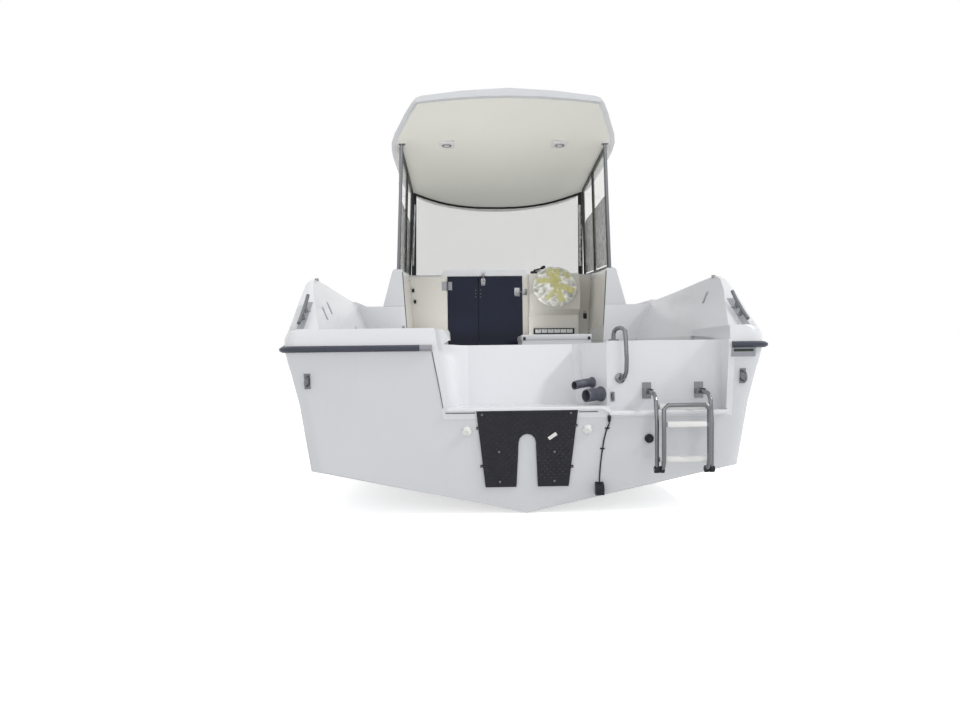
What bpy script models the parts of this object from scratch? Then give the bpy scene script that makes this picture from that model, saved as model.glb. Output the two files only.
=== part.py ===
"""Pilothouse boat: a trailerable outboard fishing boat with a wheelhouse.

Boat coordinates: +X starboard, +Y towards the bow, +Z up, in metres, measured from the
keel at the foot of the transom. Every object hangs from one datum empty, which puts the
world origin amidships on the waterline.
"""
from collections import namedtuple
from math import cos, pi, radians, sin

import bmesh
import bpy
from mathutils import Vector

# Whole boat: these three sizes drive its width, its length and its height
HALF_BEAM = 1.172
FOREBODY = 3.20
ROOF_Z = 2.390
DRAUGHT = 0.30
GAP = 0.0003

# Transom
TRANSOM_FOOT_Y = 0.10
TRANSOM_RAKE = 0.16
QUARTER_LEAN = 0.10
QUARTER_ROUND = 0.070
NOTCH_PORT_X = -0.378
NOTCH_LEAN = 0.15
NOTCH_STEP_X = 0.405
STEP_STBD_X = HALF_BEAM * 0.822
ENGINE_LEDGE_Z = 0.522
STEP_LEDGE_Z = 0.498
LIP = 0.030
WELL_LIP = (0.014, 0.014)
STEP_LIP = (0.022, 0.018)
LIP_CORNER_X = 0.362
STEP_WALL_Y = 0.12
WELL_WALL_Y = 0.45
WELL_WALL_RAKE = 0.48
WELL_SIDE_Y = 0.27
WELL_HALF_FRONT = 0.31
WELL_ROUND = 0.030
WELL_WALL_TOP_Z = 0.831
STEP_WALL_TOP_Z = 0.838
QUARTER_TOP_Z = 0.905
SHOULDER_X = -0.378
SHOULDER_R = 0.054

# Cockpit, wheelhouse and cuddy
COCKPIT_AFT_Y = 0.57
WING_Y = 1.95
BULKHEAD_Y = 2.70
BULKHEAD_THICK = 0.040
SOLE_Z = 0.36
SOLE_THICK = 0.030
LINER_BASE_X = HALF_BEAM * 0.826
LINER_BASE_Z = 0.85
LINER_LEAN = 0.42
LINER_FOOT_LEAN = 0.10
LINER_TOP_Z = 1.30
HOUSE_SOLE_X = HALF_BEAM * 0.597
HOUSE_TOP_X = HALF_BEAM * 0.657
HOUSE_TOP_Z = 1.435
OPEN_TOP_Z = 1.62
DECK_CAP_ROUND = 0.045
TOE_RAIL_WIDTH = 0.060
TOE_RAIL_LEAN = 0.20
BULWARK_LAND = 0.012

# Companionway and its folding door
DOOR_PORT_X = -0.454
DOOR_STBD_X = 0.182
DOOR_SEAM_X = -0.193
DOOR_SILL_Z = 0.500
DOOR_HEAD_Z = 1.462
DOOR_THICK = 0.008
DOOR_STAND = 0.001
DOOR_CLEAR = 0.005
HEADER_TOP_Z = 1.514
HEADER_SIDE = 0.030
HEADER_FLARE = 0.020
HOOD_FORE_Y = 3.24
HOOD_HOLLOW_Y = 3.08
HOOD_SKIN = 0.035
HOOD_ROOT = 0.024
JAMB_HINGE_Z = 1.380
JAMB_HINGE_TALL = 0.075
JAMB_HINGE_WIDE = 0.044
JAMB_PIN_R = 0.005
SEAM_PIN_R = 0.0025
HINGE_LEAF = 0.003

# Windows and roof
FRAME_DEEP = 0.020
FRAME_WIDE = 0.028
GLASS_THICK = 0.006
POST_FOOT = (HALF_BEAM * 0.682, WING_Y + 0.04)
POST_HEAD = (HALF_BEAM * 0.642, WING_Y - 0.07)
POST_R = 0.0125
POST_FLANGE_R = 0.026
POST_FLANGE = 0.005
POST_HEAD_DEEP = 0.016
ROOF_EDGE = 0.034
ROOF_MID = 0.050

# Helm
WHEEL_CENTRE = (0.422, 2.352, 1.338)
WHEEL_R = 0.165
WHEEL_RIM_R = 0.011
DASH_LOW = (2.430, 1.290)
DASH_HIGH = (2.500, 1.462)
CONSOLE_X = (0.226, 0.640)
CONSOLE_FACE_Y = 2.540
CONSOLE_KNEE = (2.455, 1.165)

# Ladder
LADDER_X = 0.732
LADDER_HALF = 0.130
LADDER_TUBE_R = 0.010
LADDER_PIVOT = (0.075, 0.585)
LADDER_KNEE = (-0.058, 0.225)
LADDER_INNER_STEP = 0.024
CHEEK_INNER = 0.014
PIVOT_PIN_R = 0.005



def fore(share):
    """A place in the forebody, as a share of the way from the bulkhead to the stem."""
    return BULKHEAD_Y + FOREBODY * share


def faired(rows, steps):
    """Fill a table with rows on smooth curves through its own, without overshoot."""
    places = [row[0] for row in rows]
    columns = []
    for column in zip(*rows):
        rises = [(b - a) / (v - u) for a, b, u, v in zip(column, column[1:], places, places[1:])]
        turns = [2 * p * q / (p + q) if p * q > 0 else 0.0 for p, q in zip(rises, rises[1:])]
        columns.append((column, [rises[0]] + turns + [rises[-1]]))
    dense = []
    for i in range(len(rows) - 1):
        span = places[i + 1] - places[i]
        for k in range(steps):
            t = k / steps
            values = []
            for column, slopes in columns:
                start = column[i] * (2 * t ** 3 - 3 * t ** 2 + 1) + span * slopes[i] * (t ** 3 - 2 * t ** 2 + t)
                end = column[i + 1] * (3 * t ** 2 - 2 * t ** 3) + span * slopes[i + 1] * (t ** 3 - t ** 2)
                values.append(start + end)
            dense.append(type(rows[0])(*values))
    return dense + [rows[-1]]


LENGTH = fore(1.0)

# Hull and deck stations: chine and joint are shares of the half beam
Station = namedtuple("Station", "y keel_z chine chine_z joint joint_z top_z deck_z")
STATIONS = faired([
    Station(-0.25, 0.000, 0.896, 0.220, 0.981, 0.810, QUARTER_TOP_Z, QUARTER_TOP_Z),
    Station(0.05, 0.000, 0.896, 0.220, 0.981, 0.810, QUARTER_TOP_Z, QUARTER_TOP_Z),
    Station(0.22, 0.000, 0.898, 0.220, 0.983, 0.850, 1.020, QUARTER_TOP_Z),
    Station(0.48, 0.000, 0.900, 0.220, 0.985, 0.866, 1.182, QUARTER_TOP_Z),
    Station(0.62, 0.000, 0.901, 0.220, 0.988, 0.870, 1.212, QUARTER_TOP_Z),
    Station(0.90, 0.000, 0.903, 0.221, 0.991, 0.877, 1.206, 1.160),
    Station(WING_Y - 0.07, 0.000, 0.904, 0.226, 1.000, 0.893, 1.180, 1.160),
    Station(WING_Y, 0.000, 0.904, 0.227, 1.000, 0.895, 1.196, 1.160),
    Station(WING_Y + 0.10, 0.000, 0.903, 0.230, 1.000, 0.898, 1.197, 1.160),
    Station(BULKHEAD_Y, 0.004, 0.879, 0.256, 0.990, 0.913, 1.204, 1.162),
    Station(fore(0.190), 0.014, 0.823, 0.305, 0.952, 0.934, 1.215, 1.166),
    Station(fore(0.375), 0.040, 0.725, 0.385, 0.875, 0.962, 1.230, 1.174),
    Station(fore(0.547), 0.100, 0.589, 0.495, 0.753, 0.996, 1.249, 1.186),
    Station(fore(0.703), 0.220, 0.418, 0.635, 0.584, 1.034, 1.271, 1.202),
    Station(fore(0.828), 0.400, 0.256, 0.780, 0.398, 1.070, 1.291, 1.218),
    Station(fore(0.922), 0.630, 0.124, 0.905, 0.219, 1.100, 1.308, 1.232),
    Station(fore(0.975), 0.840, 0.051, 0.990, 0.107, 1.118, 1.318, 1.240),
    Station(fore(1.000), 1.020, 0.017, 1.062, 0.051, 1.128, 1.323, 1.244),
], 2)

# Cabin trunk: base and top are shares of the half beam
TRUNK_SHOULDER = 0.55
TRUNK_SHOULDER_RISE = 0.75
Trunk = namedtuple("Trunk", "y base top top_z crown")
TRUNK = faired([
    Trunk(WING_Y, 0.778, 0.717, 1.435, 0.000),
    Trunk(WING_Y + 0.10, 0.780, 0.718, 1.435, 0.000),
    Trunk(BULKHEAD_Y, 0.787, 0.728, 1.479, 0.000),
    Trunk(fore(0.190), 0.781, 0.725, 1.520, 0.000),
    Trunk(fore(0.375), 0.683, 0.614, 1.478, 0.040),
    Trunk(fore(0.547), 0.538, 0.452, 1.400, 0.050),
    Trunk(fore(0.703), 0.341, 0.239, 1.262, 0.040),
], 2)

# Hardtop: half width as a share of the half beam, underside heights above ROOF_Z
Roof = namedtuple("Roof", "y half edge mid")
ROOF = faired([
    Roof(WING_Y - 0.75, 0.520, 0.022, 0.065),
    Roof(WING_Y - 0.70, 0.539, 0.020, 0.062),
    Roof(WING_Y - 0.40, 0.627, -0.012, 0.034),
    Roof(WING_Y - 0.07, 0.706, -0.044, 0.000),
    Roof(WING_Y + 0.25, 0.725, -0.060, -0.028),
    Roof(BULKHEAD_Y, 0.721, -0.085, -0.078),
    Roof(BULKHEAD_Y + 0.37, 0.708, -0.106, -0.120),
    Roof(BULKHEAD_Y + 0.65, 0.589, -0.140, -0.154),
    Roof(BULKHEAD_Y + 0.82, 0.384, -0.164, -0.174),
    Roof(BULKHEAD_Y + 0.90, 0.171, -0.178, -0.184),
], 2)

CUDDY_FLOOR_Z = SOLE_Z - SOLE_THICK
CUDDY = (
    # y, half width at the floor, floor, half width at the top, top
    (WING_Y - 0.10, HOUSE_SOLE_X, CUDDY_FLOOR_Z, HOUSE_TOP_X - 0.001, 1.410),
    (BULKHEAD_Y, HOUSE_SOLE_X, CUDDY_FLOOR_Z, HOUSE_TOP_X, 1.430),
    (fore(0.190), HALF_BEAM * 0.555, 0.380, HALF_BEAM * 0.631, 1.455),
    (fore(0.375), HALF_BEAM * 0.375, 0.470, HALF_BEAM * 0.503, 1.430),
    (fore(0.547), HALF_BEAM * 0.213, 0.620, HALF_BEAM * 0.341, 1.355),
    (fore(0.656), HALF_BEAM * 0.102, 0.780, HALF_BEAM * 0.230, 1.265),
)

FINISHES = {
    "gelcoat": ((0.86, 0.87, 0.89), 0.25, 0.0),
    "liner": ((0.80, 0.79, 0.74), 0.35, 0.0),
    "rubber": ((0.05, 0.06, 0.08), 0.55, 0.0),
    "acrylic": ((0.02, 0.025, 0.045), 0.15, 0.0),
    "glass": ((0.80, 0.84, 0.86), 0.05, 0.0),
    "frame": ((0.02, 0.02, 0.02), 0.40, 0.0),
    "stainless": ((0.75, 0.75, 0.76), 0.18, 1.0),
    "black": ((0.02, 0.02, 0.023), 0.50, 0.0),
    "white_plastic": ((0.85, 0.85, 0.84), 0.40, 0.0),
}

for old in list(bpy.data.objects):
    bpy.data.objects.remove(old, do_unlink=True)

datum = bpy.data.objects.new("datum", None)
datum.location = (0.0, -LENGTH / 2, -DRAUGHT)
bpy.context.collection.objects.link(datum)


def finish(name):
    """Return the material of this finish, made once."""
    material = bpy.data.materials.get(name)
    if material is None:
        colour, roughness, metallic = FINISHES[name]
        material = bpy.data.materials.new(name)
        material.use_nodes = True
        shader = material.node_tree.nodes["Principled BSDF"]
        shader.inputs["Base Color"].default_value = (*colour, 1.0)
        shader.inputs["Roughness"].default_value = roughness
        shader.inputs["Metallic"].default_value = metallic
    return material


def add(name, mesh, material, parent=None):
    """Put a mesh in the scene under its parent."""
    body = bpy.data.objects.new(name, mesh)
    body.parent = parent or datum
    mesh.materials.append(finish(material))
    mesh.shade_smooth()
    mesh.set_sharp_from_angle(angle=radians(35))
    bpy.context.collection.objects.link(body)
    return body


def close(grid, origin=(0, 0, 0)):
    """Turn a bmesh into a mesh with its faces outwards and its points about an origin."""
    quads = [face for face in grid.faces if len(face.verts) == 4]
    bmesh.ops.triangulate(grid, faces=quads, quad_method="FIXED")
    bmesh.ops.recalc_face_normals(grid, faces=grid.faces)
    bmesh.ops.translate(grid, verts=grid.verts, vec=-Vector(origin))
    mesh = bpy.data.meshes.new("mesh")
    grid.to_mesh(mesh)
    grid.free()
    return mesh


def loft(rings, origin=(0, 0, 0)):
    """Skin closed rings of the same number of points, with flat ends."""
    grid = bmesh.new()
    rows = [[grid.verts.new(point) for point in ring] for ring in rings]
    count = len(rows[0])
    for low, high in zip(rows, rows[1:]):
        for i in range(count):
            j = (i + 1) % count
            grid.faces.new((low[i], low[j], high[j], high[i]))
    grid.faces.new(rows[0])
    grid.faces.new(rows[-1])
    return close(grid, origin)


def prism(outline, along, low, high, origin=(0, 0, 0)):
    """Extrude an outline of two coordinates along the axis named x, y or z."""
    place = {
        "x": lambda p, t: (t, p[0], p[1]),
        "y": lambda p, t: (p[0], t, p[1]),
        "z": lambda p, t: (p[0], p[1], t),
    }[along]
    return loft([[place(p, t) for p in outline] for t in (low, high)], origin)


def block(low, high, origin=(0, 0, 0)):
    """A box between two corners."""
    outline = [(low[0], low[1]), (high[0], low[1]), (high[0], high[1]), (low[0], high[1])]
    return prism(outline, "z", low[2], high[2], origin)


def tube(points, radius, sides=8, origin=(0, 0, 0)):
    """A round bar along a path, its section carried round without twisting."""
    points = [Vector(p) for p in points]
    rings = []
    side = None
    for i, point in enumerate(points):
        before = points[max(i - 1, 0)]
        after = points[min(i + 1, len(points) - 1)]
        heading = (after - before).normalized()
        if side is None:
            guide = Vector((1, 0, 0)) if abs(heading.x) < 0.9 else Vector((0, 1, 0))
            side = guide.cross(heading).normalized()
        side = (side - heading * side.dot(heading)).normalized()
        up = heading.cross(side)
        stretch = 1.0
        if 0 < i < len(points) - 1:
            bend = (points[i] - before).angle(after - points[i])
            stretch = 1.0 / max(cos(bend / 2), 0.5)
        ring = []
        for k in range(sides):
            turn = 2 * pi * k / sides
            ring.append(point + (side * cos(turn) + up * sin(turn)) * radius * stretch ** 0.5)
        rings.append(ring)
    return loft(rings, origin)


def turned(profile, centre, axis, sides=16, origin=(0, 0, 0)):
    """Revolve (distance along the axis, radius) pairs about an axis through a centre."""
    spin = Vector((0, 0, 1)).rotation_difference(Vector(axis)).to_matrix()
    rings = []
    for along, radius in profile:
        ring = []
        for k in range(sides):
            turn = 2 * pi * k / sides
            local = Vector((radius * cos(turn), radius * sin(turn), along))
            ring.append(Vector(centre) + spin @ local)
        rings.append(ring)
    return loft(rings, origin)


def arc(centre, radius, start, end, steps):
    """Points on a circle of two coordinates, angles in degrees."""
    points = []
    for k in range(steps + 1):
        turn = radians(start + (end - start) * k / steps)
        points.append((centre[0] + radius * cos(turn), centre[1] + radius * sin(turn)))
    return points


def hidden(name, mesh, parent=None):
    """A tool body for a Boolean, left out of the model."""
    body = bpy.data.objects.new(name, mesh)
    body.parent = parent or datum
    body.hide_render = True
    body.display_type = "WIRE"
    bpy.context.collection.objects.link(body)
    return body


def combine(body, tool, operation):
    """Cut a tool body out of a body, or weld it on."""
    change = body.modifiers.new(tool.name, "BOOLEAN")
    change.operation = operation
    change.object = tool
    change.solver = "EXACT"


def weld(name, meshes, material, parent=None):
    """Make one body of several overlapping meshes."""
    body = add(name, meshes[0], material, parent)
    for i, mesh in enumerate(meshes[1:]):
        combine(body, hidden(f"{name}_weld_{i}", mesh, parent), "UNION")
    return body


def mirrored(points):
    """Continue a half ring, given from the keel up, down its other side."""
    other = [(-x, z) for x, z in reversed(points) if x > 0]
    return points + other


def cut_by_plane(mesh, point, normal):
    """Trim what lies on the side that the normal points to, and close the cut."""
    grid = bmesh.new()
    grid.from_mesh(mesh)
    geometry = grid.verts[:] + grid.edges[:] + grid.faces[:]
    done = bmesh.ops.bisect_plane(
        grid, geom=geometry, plane_co=point, plane_no=normal, clear_outer=True, dist=1e-7
    )
    rim = [e for e in done["geom_cut"] if isinstance(e, bmesh.types.BMEdge)]
    bmesh.ops.contextual_create(grid, geom=rim)
    bmesh.ops.recalc_face_normals(grid, faces=grid.faces)
    grid.to_mesh(mesh)
    grid.free()


def between(rows, y, field):
    """Read a column of a station table at any y."""
    for low, high in zip(rows, rows[1:]):
        if low.y <= y <= high.y:
            share = (y - low.y) / (high.y - low.y)
            return getattr(low, field) * (1 - share) + getattr(high, field) * share
    nearest = rows[0] if y < rows[0].y else rows[-1]
    return getattr(nearest, field)


def transom_y(z):
    """The raked face of the transom at a height."""
    return TRANSOM_FOOT_Y - TRANSOM_RAKE * z


def stern_y(z):
    """The aft face at a height: the transom, and the quarters above the joint."""
    joint_z = STATIONS[0].joint_z
    return transom_y(min(z, joint_z)) + QUARTER_LEAN * max(z - joint_z, 0.0)


def notch_x(z):
    """The leaning port side of the motor well at a height."""
    return NOTCH_PORT_X - NOTCH_LEAN * (z - ENGINE_LEDGE_Z)


def liner_x(z):
    """Half width between the cockpit's inner sides at a height."""
    lean = LINER_LEAN if z > LINER_BASE_Z else LINER_FOOT_LEAN
    return LINER_BASE_X + lean * (z - LINER_BASE_Z)


def rounded(outline, radius, corners, steps=4):
    """Round the listed corners of a closed outline."""
    points = []
    for i, corner in enumerate(outline):
        if i not in corners:
            points.append(corner)
            continue
        corner = Vector(corner)
        start = corner + (Vector(outline[i - 1]) - corner).normalized() * radius
        end = corner + (Vector(outline[(i + 1) % len(outline)]) - corner).normalized() * radius
        for k in range(steps + 1):
            t = k / steps
            points.append(tuple(start * (1 - t) ** 2 + corner * 2 * t * (1 - t) + end * t ** 2))
    return points


def house_x(z):
    """Half width inside the wheelhouse at a height."""
    share = (z - SOLE_Z) / (HOUSE_TOP_Z - SOLE_Z)
    return HOUSE_SOLE_X + (HOUSE_TOP_X - HOUSE_SOLE_X) * share


def roof_under(x, y):
    """Height of the hardtop's underside."""
    half = HALF_BEAM * between(ROOF, y, "half")
    edge = between(ROOF, y, "edge")
    rise = between(ROOF, y, "mid") - edge
    return ROOF_Z + edge + rise * (1 - min(abs(x) / half, 1.0) ** 2)


def hull_section(s):
    """Half section of the hull, keel to joint."""
    chine_x, joint_x = HALF_BEAM * s.chine, HALF_BEAM * s.joint
    flat = min(0.035, chine_x * 0.4)
    waist_x = chine_x + (joint_x - chine_x) * 0.42
    waist_z = s.chine_z + (s.joint_z - s.chine_z) * 0.55
    return [
        (0.0, s.keel_z),
        (chine_x - flat, s.chine_z - 0.006),
        (chine_x, s.chine_z),
        (waist_x, waist_z),
        (joint_x, s.joint_z),
    ]


def deck_section(s):
    """Half section of the deck moulding from the joint over the bulwark to the deck."""
    joint_x = HALF_BEAM * s.joint
    if s.y < WING_Y - 0.01:
        inner_top = liner_x(s.top_z)
        inner_foot = liner_x(s.deck_z)
    else:
        inner_top = max(joint_x - TOE_RAIL_WIDTH, joint_x * 0.5)
        inner_foot = inner_top - min(TOE_RAIL_LEAN * (s.top_z - s.deck_z), inner_top * 0.5)
    round_x = min(DECK_CAP_ROUND, (joint_x - inner_top) * 0.6)
    return [
        (joint_x, s.joint_z + GAP),
        (joint_x, s.top_z - DECK_CAP_ROUND),
        (joint_x - round_x * 0.3, s.top_z - DECK_CAP_ROUND * 0.3),
        (joint_x - round_x, s.top_z),
        (inner_top, s.top_z - 0.002),
        (inner_foot, s.deck_z - 0.001),
    ]


def ring_at(y, half):
    """Place a mirrored half section across the boat."""
    return [(x, y, z) for x, z in mirrored(half)]


def interior_tools():
    """Tool bodies for the cockpit, and for the wheelhouse with the cuddy."""
    floor_z = SOLE_Z - SOLE_THICK
    cockpit = [(liner_x(z), z) for z in (floor_z, LINER_BASE_Z, LINER_TOP_Z)]
    cockpit += [(-x, z) for x, z in reversed(cockpit)]
    first = prism(cockpit, "y", COCKPIT_AFT_Y, WING_Y)
    rings = []
    for y, low, floor, high, top in CUDDY:
        rings.append([(-low, y, floor), (low, y, floor), (high, y, top), (-high, y, top)])
    second = loft(rings)
    open_top = [(house_x(z), z) for z in (LINER_TOP_Z, OPEN_TOP_Z)]
    open_top += [(-x, z) for x, z in reversed(open_top)]
    third = prism(open_top, "y", WING_Y - 0.10, BULKHEAD_Y)
    return first, second, third


cockpit_mesh, house_mesh, open_top_mesh = interior_tools()
cockpit_tool = hidden("cockpit_tool", cockpit_mesh)
house_tool = hidden("house_tool", house_mesh)
open_top_tool = hidden("open_top_tool", open_top_mesh)



def station_at(y):
    """A station between those of the table."""
    return Station(y, *(between(STATIONS, y, field) for field in Station._fields[1:]))


def quarter_turns():
    """Steps round a quarter in plan: how far forward of the stern, and how far inwards."""
    turns = [radians(90 * k / QUARTER_STEPS) for k in range(QUARTER_STEPS + 1)]
    return [(QUARTER_ROUND * (1 - cos(turn)), QUARTER_ROUND * (1 - sin(turn))) for turn in turns]


def stern_rings(section, face):
    """Rings round the quarters, parallel to the stern, then the stations ahead of them."""
    rings = []
    for forward, inward in quarter_turns():
        half = section(station_at(aft_top_y + forward))
        rings.append([(max(x - inward, 0.0), face(z) + forward, z) for x, z in half])
    return rings + [[(x, s.y, z) for x, z in section(s)] for s in STATIONS if s.y > QUARTER_ROUND + 0.12]


def well_plan(z):
    """The motor well in plan at a height."""
    front = WELL_WALL_Y - WELL_WALL_RAKE * (WELL_WALL_TOP_Z - z)
    outline = [
        (notch_x(z), -0.5), (NOTCH_STEP_X, -0.5), (NOTCH_STEP_X, STEP_WALL_Y),
        (WELL_HALF_FRONT, WELL_SIDE_Y), (WELL_HALF_FRONT, front - WELL_ROUND), (WELL_HALF_FRONT - WELL_ROUND, front),
        (WELL_ROUND - WELL_HALF_FRONT, front), (-WELL_HALF_FRONT, front - WELL_ROUND),
        (notch_x(z), 0.06),
    ]
    return [(x, y, z) for x, y in outline]


QUARTER_STEPS = 5
aft_top_y = transom_y(STATIONS[0].joint_z)

# Hull: bottom and topsides up to the joint, with the transom notched for engine and step
hull_rings = []
for half in stern_rings(hull_section, transom_y):
    hull_rings.append([(-x, y, z) for x, y, z in reversed(half) if x > 0] + half)
hull = add("hull", loft(hull_rings), "gelcoat")


def notch_section(grow, top):
    """Section of the recess for well and step, larger by this much, up to this height."""
    low = STEP_LEDGE_Z - LIP - grow
    stbd_x = STEP_STBD_X + LIP + grow
    return [(notch_x(low) - LIP - grow, low), (stbd_x, low), (stbd_x, top), (notch_x(top) - LIP - grow, top)]


notch = prism(notch_section(GAP, 2.0), "y", -0.5, COCKPIT_AFT_Y + LIP + GAP)
combine(hull, hidden("notch_tool", notch), "DIFFERENCE")
combine(hull, cockpit_tool, "DIFFERENCE")
combine(hull, house_tool, "DIFFERENCE")

# Deck moulding: quarters, bulwarks, side decks, foredeck and the well behind the cockpit
deck_rings = []
for half in stern_rings(deck_section, stern_y):
    deck_rings.append(half + [(-x, y, z) for x, y, z in reversed(half)])
deck = add("deck", loft(deck_rings), "gelcoat")
deck_tool = hidden("deck_tool", loft([[(x, y, z + GAP) for x, y, z in ring] for ring in deck_rings]))
well_body = prism(notch_section(0.0, STATIONS[0].joint_z + 0.02), "y", -0.25, COCKPIT_AFT_Y + LIP)
cut_by_plane(well_body, (0, TRANSOM_FOOT_Y, 0), (0, -1, -TRANSOM_RAKE))
cut_by_plane(well_body, (0, aft_top_y, STATIONS[0].joint_z), (0, -1, QUARTER_LEAN))
combine(deck, hidden("well_body", well_body), "UNION")

# Proud lips along the aft edges of the well and of the step, their tops trimmed with the ledges
LIP_ROOT = 0.020
LIP_TRIM = 0.005


def lip_ring(x, top, out, tall):
    """Section of a lip at a place across the transom."""
    chamfer = out * 0.3
    return [
        (x, transom_y(top) + LIP_ROOT, top + LIP_TRIM), (x, transom_y(top) - out + chamfer, top + LIP_TRIM),
        (x, transom_y(top) - out + chamfer, top), (x, transom_y(top) - out, top - chamfer),
        (x, transom_y(top) - out, top - tall), (x, transom_y(top) + LIP_ROOT, top - tall),
    ]


well_lip = [lip_ring(x, ENGINE_LEDGE_Z, *WELL_LIP) for x in (notch_x(ENGINE_LEDGE_Z) - LIP_TRIM, LIP_CORNER_X)]
well_lip.append(lip_ring(NOTCH_STEP_X + LIP_TRIM, STEP_LEDGE_Z, *STEP_LIP))
step_lip = [lip_ring(x, STEP_LEDGE_Z, *STEP_LIP) for x in (NOTCH_STEP_X - LIP_TRIM * 2, STEP_STBD_X + LIP_TRIM)]
combine(deck, hidden("well_lip", loft(well_lip)), "UNION")
combine(deck, hidden("step_lip", loft(step_lip)), "UNION")
well = loft([well_plan(z) for z in (ENGINE_LEDGE_Z, 1.2)])
combine(deck, hidden("well_tool", well), "DIFFERENCE")
step_plan = [(NOTCH_STEP_X - 0.004, -0.5), (STEP_STBD_X, -0.5), (STEP_STBD_X, STEP_WALL_Y),
             (NOTCH_STEP_X - 0.004, STEP_WALL_Y)]
step = prism(rounded(step_plan, 0.040, (2,)), "z", STEP_LEDGE_Z, 2.0)
combine(deck, hidden("step_tool", step), "DIFFERENCE")
shoulder_z = WELL_WALL_TOP_Z + SHOULDER_R
front_trim = [(NOTCH_STEP_X, 2.0), (SHOULDER_X, 2.0)]
front_trim += arc((SHOULDER_X + SHOULDER_R, shoulder_z), SHOULDER_R, 180, 270, 6)
front_trim.append((NOTCH_STEP_X, WELL_WALL_TOP_Z))
combine(deck, hidden("front_trim", prism(front_trim, "y", -0.5, COCKPIT_AFT_Y + 0.1)), "DIFFERENCE")
stbd_trim = block(
    (NOTCH_STEP_X - 0.001, -0.5, STEP_WALL_TOP_Z), (LINER_BASE_X + 0.004, COCKPIT_AFT_Y + 0.1, 2.0)
)
combine(deck, hidden("stbd_trim", stbd_trim), "DIFFERENCE")
combine(deck, cockpit_tool, "DIFFERENCE")
combine(deck, house_tool, "DIFFERENCE")

# Cabin trunk: the wheelhouse coamings, and the cuddy's roof from the bulkhead forward
trunk_rings = []
for t in TRUNK:
    base_z = between(STATIONS, t.y, "deck_z") + GAP
    top_x = HALF_BEAM * t.top
    half = [
        (HALF_BEAM * t.base, base_z), (top_x, t.top_z - BULWARK_LAND),
        (top_x - BULWARK_LAND, t.top_z),
        (top_x * TRUNK_SHOULDER, t.top_z + t.crown * TRUNK_SHOULDER_RISE),
    ]
    ring = half + [(0, t.top_z + t.crown)] + [(-x, z) for x, z in reversed(half)]
    trunk_rings.append([(x, t.y, z) for x, z in ring])
trunk = add("cabin_trunk", loft(trunk_rings), "gelcoat")

# Raised hood over the companionway, hollow below so that the folding door clears it
hood_rings = []
for y, rise in ((BULKHEAD_Y, HEADER_TOP_Z), (HOOD_HOLLOW_Y, HEADER_TOP_Z), (HOOD_FORE_Y, 0.0)):
    root = between(TRUNK, y, "top_z")
    top = max(rise, root + GAP * 4)
    low = [(DOOR_STBD_X + HEADER_SIDE + HEADER_FLARE, root - HOOD_ROOT),
           (DOOR_STBD_X + HEADER_SIDE + HEADER_FLARE, root),
           (DOOR_STBD_X + HEADER_SIDE, top)]
    high = [(DOOR_PORT_X - HEADER_SIDE, top),
            (DOOR_PORT_X - HEADER_SIDE - HEADER_FLARE, root),
            (DOOR_PORT_X - HEADER_SIDE - HEADER_FLARE, root - HOOD_ROOT)]
    hood_rings.append([(x, y, z) for x, z in low + high])
combine(trunk, hidden("hood_body", loft(hood_rings)), "UNION")
hood_hollow = block(
    (DOOR_PORT_X, BULKHEAD_Y - 0.1, DOOR_HEAD_Z - 0.10), (DOOR_STBD_X, HOOD_HOLLOW_Y, HEADER_TOP_Z - HOOD_SKIN)
)
combine(trunk, house_tool, "DIFFERENCE")
combine(trunk, open_top_tool, "DIFFERENCE")
combine(trunk, hidden("hood_hollow", hood_hollow), "DIFFERENCE")

# Rub rail: a half-round rubber fender wrapped round the joint, open across the well
RAIL_HALF = 0.015
RAIL_DEEP = 0.025
RAIL_PORT_END_X = -0.506
RAIL_STBD_END_X = STEP_STBD_X + 0.015
RAIL_CAP_END_X = notch_x(STATIONS[0].joint_z) - LIP + 0.004
RAIL_SEAT = 0.0006


def fender_path():
    """The joint line in plan from the port end across the stern, round the bow and back."""
    low_z = STATIONS[0].joint_z
    side = [ring[-1] for ring in stern_rings(hull_section, transom_y)]
    path = [(RAIL_PORT_END_X, aft_top_y, low_z)] + [(-x, y, z) for x, y, z in side]
    return path + side[::-1] + [(RAIL_STBD_END_X, aft_top_y, low_z)]


def fender(path):
    """Sweep the half-round section along a level path, outwards to its left."""
    section = [(RAIL_SEAT, -RAIL_HALF)]
    for turn in (-65, -22, 22, 65):
        section.append((RAIL_SEAT + RAIL_DEEP * cos(radians(turn)), RAIL_HALF * sin(radians(turn))))
    section.append((RAIL_SEAT, RAIL_HALF))
    rings = []
    for i, point in enumerate(path):
        here = Vector(point)
        normals = []
        for a, b in ((i - 1, i), (i, i + 1)):
            if a >= 0 and b < len(path):
                run = Vector(path[b]) - Vector(path[a])
                normals.append(Vector((-run.y, run.x, 0)).normalized())
        out = sum(normals, Vector()).normalized()
        out /= max(out.dot(normals[0]), 0.3)
        rings.append([here + out * away + Vector((0, 0, up)) for away, up in section])
    return loft(rings)


rub_rail = add("rub_rail", fender(fender_path()), "rubber")
cap_path = [(RAIL_CAP_END_X, aft_top_y, STATIONS[0].joint_z),
            (RAIL_PORT_END_X + 0.001, aft_top_y, STATIONS[0].joint_z)]
add("rub_rail_cap", fender(cap_path), "white_plastic")

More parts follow.
